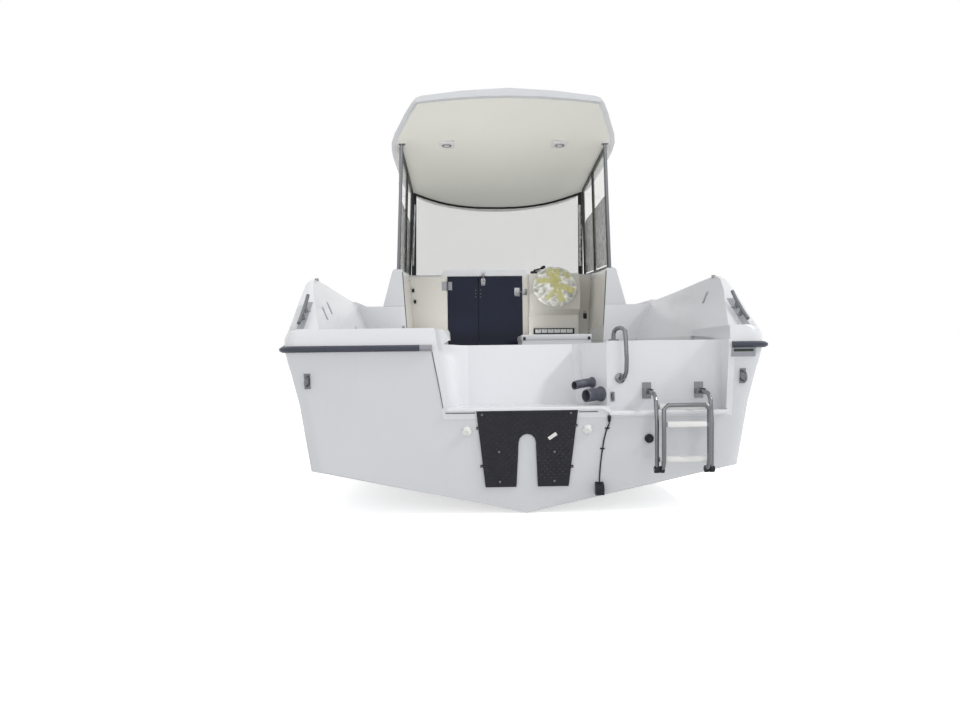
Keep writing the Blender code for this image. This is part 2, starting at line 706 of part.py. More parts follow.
# Cockpit and wheelhouse sole
sole_x = liner_x(SOLE_Z - SOLE_THICK) - 0.006
house_sole_x = HOUSE_SOLE_X - 0.006
sole_plan = [
    (sole_x, COCKPIT_AFT_Y + 0.001), (sole_x, WING_Y - 0.106), (house_sole_x, WING_Y - 0.106),
    (house_sole_x, BULKHEAD_Y - BULKHEAD_THICK - 0.0006),
]
sole_plan += [(-x, y) for x, y in reversed(sole_plan)]
sole_low = SOLE_Z - SOLE_THICK + GAP
sole = add("cockpit_sole", prism(sole_plan, "z", sole_low, SOLE_Z), "liner")

# Bulkhead with its companionway and raised header
bulkhead_aft_y = BULKHEAD_Y - BULKHEAD_THICK
low_x = HOUSE_SOLE_X - 0.001
high_z = DOOR_HEAD_Z
high_x = house_x(high_z) - 0.001
bulkhead_outline = [(-low_x, sole_low), (low_x, sole_low), (high_x, high_z), (-high_x, high_z)]
bulkhead = add("bulkhead", prism(bulkhead_outline, "y", bulkhead_aft_y, BULKHEAD_Y - GAP), "liner")
doorway = block(
    (DOOR_PORT_X, bulkhead_aft_y - 0.1, DOOR_SILL_Z), (DOOR_STBD_X, BULKHEAD_Y + 0.1, DOOR_HEAD_Z + 0.1)
)
combine(bulkhead, hidden("doorway_tool", doorway), "DIFFERENCE")
header_outline = [
    (DOOR_PORT_X - HEADER_SIDE - HEADER_FLARE, DOOR_HEAD_Z + GAP),
    (DOOR_STBD_X + HEADER_SIDE + HEADER_FLARE, DOOR_HEAD_Z + GAP),
    (DOOR_STBD_X + HEADER_SIDE, HEADER_TOP_Z), (DOOR_PORT_X - HEADER_SIDE, HEADER_TOP_Z),
]
add("door_header", prism(header_outline, "y", bulkhead_aft_y, BULKHEAD_Y - GAP), "gelcoat")

# Folding door: the inner leaf on the jamb's pin, the outer leaf on the seam's pin
door_fore_y = bulkhead_aft_y - DOOR_STAND
door_aft_y = door_fore_y - DOOR_THICK
jamb_axis = Vector((DOOR_PORT_X - 0.002, door_aft_y - JAMB_PIN_R - HINGE_LEAF, JAMB_HINGE_Z))
seam_axis = Vector((DOOR_SEAM_X, door_fore_y + SEAM_PIN_R + 0.0005, JAMB_HINGE_Z))
leaf_low = DOOR_SILL_Z + DOOR_CLEAR
leaf_high = DOOR_HEAD_Z - DOOR_CLEAR


def empty(name, place, parent=None):
    """A joint's place, in boat coordinates."""
    anchor = bpy.data.objects.new(name, None)
    anchor.parent = parent or datum
    anchor.location = place
    bpy.context.collection.objects.link(anchor)
    return anchor


jamb = empty("door_jamb_axis", jamb_axis)
seam = empty("door_seam_axis", seam_axis - jamb_axis, jamb)
seam_half = SEAM_PIN_R + GAP
leaf_a = block(
    (DOOR_PORT_X + DOOR_CLEAR, door_aft_y, leaf_low),
    (DOOR_SEAM_X - seam_half, door_fore_y, leaf_high), jamb_axis,
)
hinge_low = JAMB_HINGE_Z - JAMB_HINGE_TALL / 2
hinge_high = JAMB_HINGE_Z + JAMB_HINGE_TALL / 2
flap_a = block(
    (jamb_axis.x + JAMB_PIN_R + GAP, door_aft_y - HINGE_LEAF, hinge_low),
    (jamb_axis.x + JAMB_HINGE_WIDE, door_aft_y + 0.002, hinge_high), jamb_axis,
)
curl_a = block(
    (jamb_axis.x + JAMB_PIN_R + GAP, jamb_axis.y - 0.0015, hinge_low),
    (jamb_axis.x + JAMB_PIN_R + 0.004, door_aft_y + 0.002, hinge_high), jamb_axis,
)
flap_seam = block(
    (DOOR_SEAM_X - 0.030, door_fore_y - 0.002, leaf_low + 0.05),
    (DOOR_SEAM_X - 0.001, door_fore_y + 0.002, leaf_high - 0.05), jamb_axis,
)
pin_seam = turned(
    [(0, SEAM_PIN_R), (leaf_high - leaf_low - 0.10, SEAM_PIN_R)],
    (seam_axis.x, seam_axis.y, leaf_low + 0.05), (0, 0, 1), 10, jamb_axis,
)
door_inner = weld("door_leaf_inner", [leaf_a, flap_a, curl_a, flap_seam, pin_seam], "acrylic", jamb)
leaf_b = block(
    (DOOR_SEAM_X + seam_half + 0.002, door_aft_y, leaf_low),
    (DOOR_STBD_X - DOOR_CLEAR, door_fore_y, leaf_high), seam_axis,
)
flap_b = block(
    (DOOR_SEAM_X + seam_half, door_fore_y - 0.002, leaf_low + 0.05),
    (DOOR_SEAM_X + 0.030, door_fore_y + 0.002, leaf_high - 0.05), seam_axis,
)
door_outer = weld("door_leaf_outer", [leaf_b, flap_b], "acrylic", seam)
plate = block(
    (jamb_axis.x - JAMB_HINGE_WIDE, bulkhead_aft_y - HINGE_LEAF, hinge_low),
    (jamb_axis.x - JAMB_PIN_R * 0.5, bulkhead_aft_y - GAP, hinge_high),
)
knuckle = turned(
    [(0, JAMB_PIN_R), (JAMB_HINGE_TALL, JAMB_PIN_R)],
    (jamb_axis.x, jamb_axis.y, hinge_low), (0, 0, 1), 12,
)
web = block(
    (jamb_axis.x - JAMB_PIN_R, jamb_axis.y, hinge_low),
    (jamb_axis.x, bulkhead_aft_y - GAP * 4, hinge_high),
)
weld("door_hinge", [plate, knuckle, web], "stainless")


# Hardtop
roof_rings = []
for r in ROOF:
    half = [(0.35, 0.0), (0.70, 0.0), (0.97, 0.0), (1.0, 0.35), (0.98, 0.8), (0.92, 1.0), (0.5, 1.0)]
    ring = []
    for share, height in half:
        x = HALF_BEAM * share * r.half
        under = ROOF_Z + r.edge + (r.mid - r.edge) * (1 - share ** 2)
        ring.append((x, r.y, under + height * (ROOF_EDGE + (ROOF_MID - ROOF_EDGE) * (1 - share))))
    ring = [(0, r.y, ROOF_Z + r.mid)] + ring + [(0, r.y, ROOF_Z + r.mid + ROOF_MID)]
    ring += [(-x, y, z) for x, y, z in reversed(ring[1:-1])]
    roof_rings.append(ring)
add("hardtop", loft(roof_rings), "gelcoat")
roof_tool = hidden("roof_tool", loft([[(x, y, z - GAP) for x, y, z in ring] for ring in roof_rings]))
trunk_tool = hidden("trunk_tool", loft([[(x, y, z + GAP) for x, y, z in ring] for ring in trunk_rings]))


# Windows: frames and panes as thick curved or flat strips between a sill and a head curve
def strip(sill, head, along, across, keep, thick, skew=0.0):
    """Thicken the kept cells of the surface between two curves into one closed body."""
    def surface(u, v):
        low, high = Vector(sill(u)), Vector(head(u))
        return low.lerp(high, v)

    def normal(u, v):
        step = 0.001
        du = surface(min(u + step, 1), v) - surface(max(u - step, 0), v)
        dv = surface(u, 1) - surface(u, 0)
        return du.cross(dv).normalized()

    grid = bmesh.new()
    sheets = []
    for side in (-0.5, 0.5):
        sheets.append([
            [grid.verts.new(surface(u, v) + normal(u, v) * thick * (side + skew)) for v in across]
            for u in along
        ])
    edges = {}
    for i in range(len(along) - 1):
        for j in range(len(across) - 1):
            if not keep(i, j):
                continue
            corners = [(i, j), (i + 1, j), (i + 1, j + 1), (i, j + 1)]
            grid.faces.new([sheets[1][a][b] for a, b in corners])
            grid.faces.new([sheets[0][a][b] for a, b in reversed(corners)])
            for one, two in zip(corners, corners[1:] + corners[:1]):
                if (two, one) in edges:
                    edges.pop((two, one))
                else:
                    edges[(one, two)] = True
    for one, two in edges:
        grid.faces.new([sheets[1][one[0]][one[1]], sheets[0][one[0]][one[1]],
                        sheets[0][two[0]][two[1]], sheets[1][two[0]][two[1]]])
    loose = [v for v in grid.verts if not v.link_faces]
    bmesh.ops.delete(grid, geom=loose, context="VERTS")
    return close(grid)


def trunk_top(x, y):
    """Height of the trunk's top surface, straight between the points of its sections."""
    half = HALF_BEAM * between(TRUNK, y, "top")
    shoulder = half * TRUNK_SHOULDER
    edge = half - BULWARK_LAND
    if abs(x) < shoulder:
        rise = 1 - (1 - TRUNK_SHOULDER_RISE) * abs(x) / shoulder
    else:
        rise = TRUNK_SHOULDER_RISE * max(edge - abs(x), 0) / (edge - shoulder)
    return between(TRUNK, y, "top_z") + between(TRUNK, y, "crown") * rise


WINDOW_BED = 0.005
SIDE_SILL = ((HALF_BEAM * 0.683, WING_Y + 0.083), (HALF_BEAM * 0.698, BULKHEAD_Y + 0.570))
SIDE_HEAD = ((HALF_BEAM * 0.652, WING_Y - 0.015), (HALF_BEAM * 0.659, BULKHEAD_Y + 0.340))
SCREEN_SILL = ((HALF_BEAM * 0.676, BULKHEAD_Y + 0.615), BULKHEAD_Y + 1.040)
SCREEN_HEAD = ((HALF_BEAM * 0.650, BULKHEAD_Y + 0.385), BULKHEAD_Y + 0.755)
SCREEN_FULLNESS = 2.7
SCREEN_STEPS = 16


def side_curve(sign, ends, height):
    """The foot or the head of a side window, from its aft end forward."""
    (x0, y0), (x1, y1) = ends
    def point(u):
        x, y = x0 + (x1 - x0) * u, y0 + (y1 - y0) * u
        return (sign * x, y, height(x, y))
    return point


def on_trunk(x, y):
    """A line bedded into the trunk's top, before it is trimmed to it."""
    return trunk_top(x, y) - WINDOW_BED


def in_roof(x, y):
    """A line let into the roof, before it is trimmed to its underside."""
    return roof_under(x, y) + WINDOW_BED


def screen_curve(corner, mid_y, height):
    """A bowed line across the boat from port to starboard."""
    x0, y0 = corner
    def point(u):
        x = x0 * (2 * u - 1)
        y = y0 + (mid_y - y0) * (1 - abs(x / x0) ** SCREEN_FULLNESS)
        return (x, y, height(x, y))
    return point


def ring_lines(length, wide, extra=()):
    """Parameter lines for a frame of this width along one side."""
    share = wide / length
    return [0.0, share] + list(extra) + [1.0 - share, 1.0]


for side_name, sign in (("port", -1), ("starboard", 1)):
    across = ring_lines(0.86, FRAME_WIDE)
    split = 0.52
    mullion = FRAME_WIDE / 1.2 / 2
    along = ring_lines(1.20, FRAME_WIDE, (split - mullion, split + mullion))
    sill, head = side_curve(sign, SIDE_SILL, on_trunk), side_curve(sign, SIDE_HEAD, in_roof)
    pane_cells = ((1, 1), (3, 1))
    frame_mesh = strip(sill, head, along, across, lambda i, j: (i, j) not in pane_cells, FRAME_DEEP)
    side_frame = add(f"side_window_frame_{side_name}", frame_mesh, "frame")
    combine(side_frame, trunk_tool, "DIFFERENCE")
    combine(side_frame, roof_tool, "DIFFERENCE")
    for pane_name, i in (("aft", 1), ("fore", 3)):
        inset = 0.0004
        u0, u1 = along[i] + inset, along[i + 1] - inset
        v0, v1 = across[1] + inset, across[2] - inset
        pane = strip(sill, head, [u0, u1], [v0, v1], lambda i, j: True, GLASS_THICK)
        add(f"side_pane_{pane_name}_{side_name}", pane, "glass")

screen_sill = screen_curve(*SCREEN_SILL, on_trunk)
screen_head = screen_curve(*SCREEN_HEAD, in_roof)
edge = FRAME_WIDE / 1.75
screen_along = [0.0, edge] + [edge + (1 - 2 * edge) * k / SCREEN_STEPS for k in range(1, SCREEN_STEPS)]
screen_along += [1.0 - edge, 1.0]
screen_across = ring_lines(0.78, FRAME_WIDE)
last = len(screen_along) - 2
screen_frame = strip(
    screen_sill, screen_head, screen_along, screen_across,
    lambda i, j: i in (0, last) or j != 1, FRAME_DEEP, -0.5,
)
screen_frame = add("windscreen_frame", screen_frame, "frame")
combine(screen_frame, trunk_tool, "DIFFERENCE")
combine(screen_frame, roof_tool, "DIFFERENCE")
inset = 0.0005
screen_lines = [edge + inset] + screen_along[2:-2] + [1.0 - edge - inset]
screen_glass = strip(
    screen_sill, screen_head, screen_lines,
    [screen_across[1] + inset, screen_across[2] - inset], lambda i, j: True, GLASS_THICK, -1.5,
)
add("windscreen_glass", screen_glass, "glass")

# Stainless posts that carry the roof's aft corners
for side_name, sign in (("port", -1), ("starboard", 1)):
    foot_z = HOUSE_TOP_Z + GAP
    head_z = in_roof(*POST_HEAD)
    levels = [
        (0.0, POST_FLANGE_R), (POST_FLANGE, POST_FLANGE_R), (POST_FLANGE, POST_R),
        (head_z - foot_z - POST_HEAD_DEEP, POST_R), (head_z - foot_z - POST_HEAD_DEEP, POST_FLANGE_R),
        (head_z - foot_z, POST_FLANGE_R),
    ]
    rings = []
    for rise, radius in levels:
        share = rise / (head_z - foot_z)
        x = POST_FOOT[0] + (POST_HEAD[0] - POST_FOOT[0]) * share
        y = POST_FOOT[1] + (POST_HEAD[1] - POST_FOOT[1]) * share
        ring = []
        for k in range(14):
            turn = 2 * pi * k / 14
            ring.append((sign * (x + radius * cos(turn)), y + radius * sin(turn), foot_z + rise))
        rings.append(ring)
    post = add(f"roof_post_{side_name}", loft(rings), "stainless")
    combine(post, roof_tool, "DIFFERENCE")

# Helm console on the bulkhead
dash_profile = [
    (bulkhead_aft_y - GAP, SOLE_Z + GAP), (CONSOLE_FACE_Y, SOLE_Z + GAP),
    (CONSOLE_FACE_Y, CONSOLE_KNEE[1] - 0.045), CONSOLE_KNEE,
    DASH_LOW, DASH_HIGH, (bulkhead_aft_y - GAP, DASH_HIGH[1]),
]
console = add("helm_console", prism(dash_profile, "x", *CONSOLE_X), "liner")
seat_outline = [(0.090, 1.50), (0.566, 1.50), (0.566, 1.93), (0.090, 1.93)]
seat_mesh = prism(seat_outline, "z", SOLE_Z + GAP, 0.908)
add("seat_box", seat_mesh, "gelcoat")

# Steering wheel on its hub
dash_slope = Vector((0, DASH_HIGH[0] - DASH_LOW[0], DASH_HIGH[1] - DASH_LOW[1])).normalized()
shaft = Vector((0, -dash_slope.z, dash_slope.y))
wheel_centre = Vector(WHEEL_CENTRE)
wheel_axis = empty("wheel_axis", wheel_centre)
spin = Vector((0, 0, 1)).rotation_difference(shaft).to_matrix()
rim_rings = []
for k in range(32):
    turn = 2 * pi * k / 32
    radial = Vector((cos(turn), sin(turn), 0))
    rim_rings.append([
        spin @ (radial * (WHEEL_R - WHEEL_RIM_R + WHEEL_RIM_R * cos(2 * pi * m / 8))
                + Vector((0, 0, WHEEL_RIM_R * sin(2 * pi * m / 8))))
        for m in range(8)
    ])
grid = bmesh.new()
rows = [[grid.verts.new(p) for p in ring] for ring in rim_rings]
for k in range(32):
    for m in range(8):
        a, b = rows[k], rows[(k + 1) % 32]
        grid.faces.new((a[m], a[(m + 1) % 8], b[(m + 1) % 8], b[m]))
rim_mesh = close(grid)
wheel_parts = [rim_mesh, turned(
    [(-0.045, 0.020), (-0.012, 0.034), (0.006, 0.034), (0.012, 0.026)], (0, 0, 0), shaft, 16)]
for turn in (90, 210, 330):
    radial = Vector((cos(radians(turn)), sin(radians(turn)), 0))
    wheel_parts.append(tube(
        [spin @ (radial * 0.015 + Vector((0, 0, -0.012))), spin @ (radial * 0.080 + Vector((0, 0, -0.010))),
         spin @ (radial * (WHEEL_R - WHEEL_RIM_R))], 0.008, 8))
wheel = weld("steering_wheel", wheel_parts, "black", wheel_axis)
hub_back = wheel_centre - shaft * 0.0455
dash_far = (wheel_centre - Vector((WHEEL_CENTRE[0], *DASH_LOW))).dot(shaft)
dash_hit = wheel_centre - shaft * (dash_far - GAP)
add("helm_hub", turned(
    [(0.0, 0.040), (0.016, 0.040), (0.030, 0.026), ((hub_back - dash_hit).length, 0.020)],
    dash_hit, shaft, 16), "black")

# Throttle and shift lever on the console's top, beside the door
lever_foot = Vector((CONSOLE_X[0] + 0.045, DASH_HIGH[0] + 0.060, DASH_HIGH[1] + GAP))
lever_knob = lever_foot + Vector((0.072, -0.020, 0.052))
lever_reach = lever_knob - lever_foot - Vector((0, 0, 0.020))
lever_parts = [
    prism(rounded([(lever_foot.x - 0.026, lever_foot.y - 0.045), (lever_foot.x + 0.026, lever_foot.y - 0.045),
                   (lever_foot.x + 0.026, lever_foot.y + 0.045), (lever_foot.x - 0.026, lever_foot.y + 0.045)],
                  0.014, (0, 1, 2, 3), 3), "z", lever_foot.z, lever_foot.z + 0.022),
    tube([lever_foot + Vector((0, 0, 0.012)), lever_foot + Vector((0.004, 0, 0.034)),
          lever_knob - lever_reach * 0.3, lever_knob], 0.007, 8),
    turned([(-0.012, 0.009), (-0.006, 0.013), (0.018, 0.013), (0.026, 0.008)],
           lever_knob, lever_reach.normalized(), 12),
]
weld("throttle_control", lever_parts, "black")

# Switch panel on the console's lower front
PANEL_X = (0.262, 0.602)
PANEL_Z = (0.961, 1.009)
panel = block((PANEL_X[0], CONSOLE_FACE_Y - 0.012, PANEL_Z[0]), (PANEL_X[1], CONSOLE_FACE_Y - GAP, PANEL_Z[1]))
add("switch_panel", panel, "black")

# Engine pad, drains and scupper on the transom's aft face
aft_normal = Vector((0, -1, -TRANSOM_RAKE)).normalized()
along_up = Vector((0, -TRANSOM_RAKE, 1)).normalized()


def on_transom(x, z, away=0.0):
    """A point on the transom's aft face, or this far behind it."""
    return Vector((x, transom_y(z), z)) + aft_normal * away


PAD_TOP_Z = 0.505
PAD_LOW_Z = 0.135
PAD_HALF_TOP = 0.243
PAD_HALF_LOW = 0.202
PAD_SLOT_HALF = 0.052
PAD_SLOT_TOP_Z = 0.395
PAD_THICK = 0.010
pad_half = [(PAD_SLOT_HALF, PAD_LOW_Z), (PAD_HALF_LOW, PAD_LOW_Z), (PAD_HALF_TOP, PAD_TOP_Z)]
crown = arc((0, PAD_SLOT_TOP_Z - PAD_SLOT_HALF * 0.8), PAD_SLOT_HALF * 0.8, 0, 180, 6)
pad_outline = pad_half + [(-x, z) for x, z in reversed(pad_half)] + crown[::-1]
pad_rings = [[on_transom(x, z, away) for x, z in pad_outline] for away in (GAP, GAP + PAD_THICK)]
add("engine_pad", loft(pad_rings), "black")

DRAIN = [(GAP, 0.024), (0.008, 0.024), (0.012, 0.020), (0.016, 0.013)]
for side_name, x in (("port", -0.290), ("starboard", 0.290)):
    add(f"well_drain_{side_name}", turned(DRAIN, on_transom(x, 0.410), aft_normal, 14), "white_plastic")
SCUPPER = [(GAP, 0.022), (0.010, 0.022), (0.014, 0.016)]
add("sole_scupper", turned(SCUPPER, on_transom(0.591, 0.362), aft_normal, 14), "black")

# Depth transducer at the transom's foot, its cable led up to a gland below the step's lip
TRANSDUCER_X = 0.352
TRANSDUCER_Z = 0.120
box_rings = []
for away, low, high in ((GAP, -0.030, 0.030), (0.026, -0.030, 0.024), (0.040, -0.022, 0.006)):
    half = 0.020
    box_rings.append([on_transom(TRANSDUCER_X + dx, TRANSDUCER_Z + dz, away) for dx, dz in
                      ((-half, low), (half, low), (half, high), (-half, high))])
add("transducer", loft(box_rings), "black")
CABLE_R = 0.0035
CABLE_LIE = CABLE_R + GAP
GLAND_X = 0.395
GLAND_R = 0.008
GLAND_LOW_Z = STEP_LEDGE_Z - STEP_LIP[1] - 0.032
GLAND_LONG = 0.030
gland_foot = on_transom(GLAND_X, GLAND_LOW_Z, GLAND_R + GAP)
cable_route = [
    on_transom(TRANSDUCER_X, TRANSDUCER_Z + 0.0305, 0.012),
    on_transom(TRANSDUCER_X, TRANSDUCER_Z + 0.05, 0.010),
    on_transom(TRANSDUCER_X + 0.002, TRANSDUCER_Z + 0.08, CABLE_LIE + 0.002),
    on_transom(TRANSDUCER_X + 0.004, TRANSDUCER_Z + 0.11, CABLE_LIE),
    on_transom(TRANSDUCER_X + 0.010, 0.29, CABLE_LIE), on_transom(TRANSDUCER_X + 0.018, 0.35, CABLE_LIE),
    on_transom(TRANSDUCER_X + 0.029, 0.40, CABLE_LIE), on_transom(GLAND_X - 0.003, 0.43, CABLE_LIE + 0.002),
    gland_foot - along_up * 0.010, gland_foot - along_up * GAP,
]
add("transducer_cable", tube(cable_route, CABLE_R, 8), "black")
add("cable_gland", turned(
    [(0, GLAND_R * 0.6), (0.006, GLAND_R), (GLAND_LONG, GLAND_R)], gland_foot, along_up, 12), "black")

# Stern grab rail on the step wall
RAIL_TUBE_R = 0.0105
RAIL_FLANGE = [(GAP, 0.026), (0.006, 0.026), (0.010, 0.017)]
GRAB_HEAD = Vector((0.448, STEP_WALL_Y + 0.035, STEP_WALL_TOP_Z))
GRAB_FOOT = Vector((0.4705, STEP_WALL_Y, 0.652))
GRAB_RISE = 0.058
GRAB_REACH = 0.080
GRAB_LEG_X = 0.484
grab_route = [GRAB_HEAD + Vector((0, 0, 0.004)), GRAB_HEAD + Vector((0, 0, GRAB_RISE - 0.026))]
leg_y = STEP_WALL_Y - GRAB_REACH
for k in range(1, 6):
    turn = pi * k / 6
    share = (1 - cos(turn)) / 2
    grab_route.append((GRAB_HEAD.x + (GRAB_LEG_X - GRAB_HEAD.x) * share, GRAB_HEAD.y + (leg_y - GRAB_HEAD.y) * share,
                       STEP_WALL_TOP_Z + GRAB_RISE - 0.026 + 0.030 * sin(turn)))
grab_route += [
    (GRAB_LEG_X, leg_y, STEP_WALL_TOP_Z + 0.006), (GRAB_LEG_X + 0.003, leg_y - 0.002, GRAB_FOOT.z + 0.090),
    (GRAB_LEG_X + 0.002, leg_y + 0.004, GRAB_FOOT.z + 0.035), (GRAB_LEG_X - 0.002, leg_y + 0.026, GRAB_FOOT.z + 0.008),
    (GRAB_FOOT.x + 0.004, STEP_WALL_Y - 0.026, GRAB_FOOT.z), (GRAB_FOOT.x, STEP_WALL_Y - 0.004, GRAB_FOOT.z),
]
grab_parts = [
    tube(grab_route, RAIL_TUBE_R, 10),
    turned(RAIL_FLANGE, GRAB_HEAD, (0, 0, 1), 14),
    turned(RAIL_FLANGE, GRAB_FOOT, (0, -1, 0), 14),
]
weld("grab_rail", grab_parts, "stainless")

# Boarding ladder: two wall brackets, the swung upper flight and the folding lower flight
pivot_y, pivot_z = LADDER_PIVOT
knee_y, knee_z = LADDER_KNEE
for side_name, sign in (("port", -1), ("starboard", 1)):
    x = LADDER_X + sign * LADDER_HALF
    bracket = [
        block((x - 0.022, STEP_WALL_Y - 0.004, pivot_z - 0.035), (x + 0.022, STEP_WALL_Y - GAP, pivot_z + 0.045)),
        block((x - 0.020, pivot_y - 0.012, pivot_z - 0.014), (x - CHEEK_INNER, STEP_WALL_Y - 0.002, pivot_z + 0.014)),
        block((x + CHEEK_INNER, pivot_y - 0.012, pivot_z - 0.014), (x + 0.020, STEP_WALL_Y - 0.002, pivot_z + 0.014)),
    ]
    weld(f"ladder_bracket_{side_name}", bracket, "stainless")

ladder_axis = empty("ladder_axis", (LADDER_X, pivot_y, pivot_z))
ladder_origin = Vector((LADDER_X, pivot_y, pivot_z))
upper_parts = []
for sign in (-1, 1):
    x = LADDER_X + sign * LADDER_HALF
    route = [(x, pivot_y + 0.004, pivot_z), (x, pivot_y - 0.055, pivot_z - 0.002)]
    for y, z in arc((pivot_y - 0.075, pivot_z - 0.062), 0.060, 75, 160, 5):
        route.append((x, y, z))
    route += [(x, knee_y - 0.012, 0.44), (x, knee_y, knee_z - 0.012)]
    upper_parts.append(tube(route, LADDER_TUBE_R, 10, ladder_origin))
    pin = [(-CHEEK_INNER + GAP, PIVOT_PIN_R), (CHEEK_INNER - GAP, PIVOT_PIN_R)]
    upper_parts.append(turned(pin, (x, pivot_y, pivot_z), (1, 0, 0), 10, ladder_origin))
tread_x = LADDER_HALF
for z, y in ((0.520, knee_y - 0.006), (0.272, knee_y + 0.001)):
    upper_parts.append(block(
        (LADDER_X - tread_x, y - 0.010, z - 0.010), (LADDER_X + tread_x, y + 0.010, z + 0.010), ladder_origin))
ladder_upper = weld("ladder_upper", upper_parts, "stainless", ladder_axis)

# Lower flight: slides down beside the upper rails, pinned at the knee and folded up
knee_axis = empty("ladder_knee", Vector((LADDER_X, knee_y, knee_z)) - ladder_origin, ladder_axis)
knee_origin = Vector((LADDER_X, knee_y, knee_z))
LOWER_OUT = 0.040
LOWER_TOP_Z = 0.530
lower_parts = []
lower_half = LADDER_HALF - LADDER_INNER_STEP
lower_route = []
for sign in (-1, 1):
    x = LADDER_X + sign * lower_half
    pin_far = sign * (LADDER_INNER_STEP - LADDER_TUBE_R - GAP)
    pin_run = sorted((0.0, pin_far))
    lower_parts.append(turned([(pin_run[0], PIVOT_PIN_R), (pin_run[1], PIVOT_PIN_R)],
                              (x, knee_y, knee_z), (1, 0, 0), 10, knee_origin))
    leg = [(x, knee_y + 0.002, knee_z - 0.002), (x, knee_y - LOWER_OUT * 0.7, knee_z + 0.020),
           (x, knee_y - LOWER_OUT, knee_z + 0.05), (x, knee_y - LOWER_OUT - 0.008, LOWER_TOP_Z - 0.02)]
    lower_route += leg if sign < 0 else leg[::-1]
corner_z = LOWER_TOP_Z
lower_route.insert(4, (LADDER_X - lower_half + 0.02, knee_y - LOWER_OUT - 0.008, corner_z))
lower_route.insert(5, (LADDER_X + lower_half - 0.02, knee_y - LOWER_OUT - 0.008, corner_z))
lower_parts.append(tube(lower_route, LADDER_TUBE_R, 10, knee_origin))
lower_parts.append(block(
    (LADDER_X - lower_half, knee_y - LOWER_OUT - 0.016, 0.430),
    (LADDER_X + lower_half, knee_y - LOWER_OUT + 0.006, 0.450), knee_origin))
ladder_lower = weld("ladder_lower", lower_parts, "stainless", knee_axis)


# Deck hardware: horn cleats on the sloping caps, eyes at the stern and stem
CLEAT_Y = 0.165
CLEAT_X = HALF_BEAM - 0.090
CLEAT_HALF = 0.125
CLEAT_RISE = 0.042
CLEAT_FOOT = 0.036


def cap_point(x, y):
    """A point on the bulwark's sloping cap."""
    return Vector((x, y, between(STATIONS, y, "top_z")))


for side_name, sign in (("port", -1), ("starboard", 1)):
    foot = cap_point(sign * CLEAT_X, CLEAT_Y)
    cap_run = (cap_point(0, CLEAT_Y + 0.06) - cap_point(0, CLEAT_Y - 0.06)).normalized()
    cap_up = Vector((0, -cap_run.z, cap_run.y))
    horn = [foot + cap_run * along * CLEAT_HALF + cap_up * (CLEAT_RISE + 0.006 * along ** 2) for along in
            (-1, -0.8, -0.4, 0.4, 0.8, 1)]
    cleat = [tube(horn, 0.0095, 8)]
    for along in (-CLEAT_FOOT, CLEAT_FOOT):
        cleat.append(turned([(0.001, 0.017), (0.010, 0.011), (CLEAT_RISE + 0.002, 0.009)],
                            foot + cap_run * along, cap_up, 10))
    base = []
    for away in (-0.008, 0.005):
        base.append([foot + cap_up * away + cap_run * a + Vector((b, 0, 0)) for a, b in
                     rounded([(-0.062, -0.020), (0.062, -0.020), (0.062, 0.020), (-0.062, 0.020)], 0.015,
                             (0, 1, 2, 3), 2)])
    cleat.append(loft(base))
    combine(weld(f"stern_cleat_{side_name}", cleat, "stainless"), deck_tool, "DIFFERENCE")


def eye(name, centre, out, up, half, reach, radius, base_r=0.020):
    """A U-bolt with its two feet on a face."""
    out, up, centre = Vector(out).normalized(), Vector(up).normalized(), Vector(centre)
    bow = []
    for k in range(9):
        turn = pi * k / 8
        bow.append(centre + up * half * cos(turn) + out * (reach - half + half * sin(turn)))
    route = [centre + up * half + out * 0.002] + bow + [centre - up * half + out * 0.002]
    parts = [tube(route, radius, 8)]
    side = out.cross(up)
    plate = []
    for away in (GAP, 0.004):
        plate.append([centre + out * away + up * a + side * b for a, b in
                      ((-half - base_r, -base_r), (half + base_r, -base_r),
                       (half + base_r, base_r), (-half - base_r, base_r))])
    parts.append(loft(plate))
    weld(name, parts, "stainless")


for side_name, sign in (("port", -1), ("starboard", 1)):
    eye(f"stern_eye_{side_name}", on_transom(sign * (HALF_BEAM - 0.137), 0.660), aft_normal, along_up,
        0.022, 0.050, 0.005, 0.014)

eye("step_eye", (0.432, STEP_WALL_Y, 0.562), (0, -1, 0), (0, 0, 1), 0.014, 0.034, 0.004, 0.010)

# Stem eye, its legs ending on the sharp edge of the stem
STEM_LOW, STEM_HIGH = STATIONS[-5], STATIONS[-4]
stem_run = Vector((0, STEM_HIGH.y - STEM_LOW.y, STEM_HIGH.keel_z - STEM_LOW.keel_z)).normalized()
stem_out = Vector((0, stem_run.z, -stem_run.y))
stem_point = Vector((0, STEM_LOW.y, STEM_LOW.keel_z)).lerp(
    Vector((0, STEM_HIGH.y, STEM_HIGH.keel_z)), 0.5)
bow_route = [stem_point + stem_run * 0.024 + stem_out * GAP * 2]
for k in range(9):
    turn = pi * k / 8
    bow_route.append(stem_point + stem_run * 0.024 * cos(turn) + stem_out * (0.030 + 0.024 * sin(turn)))
bow_route.append(stem_point - stem_run * 0.024 + stem_out * GAP * 2)
add("bow_eye", tube(bow_route, 0.006, 8), "stainless")

# Foredeck hatch: frame bedded on the cuddy's roof, lid hinged on its forward edge
HATCH_Y = fore(0.444)
HATCH_HALF = 0.215
HATCH_RIM = 0.040
HATCH_LID = 0.014
HATCH_SILL = 0.018
HATCH_PIN_R = 0.006
HATCH_PIN_OUT = 0.012
hatch_fore = Vector((0, HATCH_Y + 0.2, trunk_top(0, HATCH_Y + 0.2)))
hatch_aft = Vector((0, HATCH_Y - 0.2, trunk_top(0, HATCH_Y - 0.2)))
hatch_run = (hatch_fore - hatch_aft).normalized()
hatch_up = Vector((0, -hatch_run.z, hatch_run.y))
hatch_centre = (hatch_fore + hatch_aft) / 2


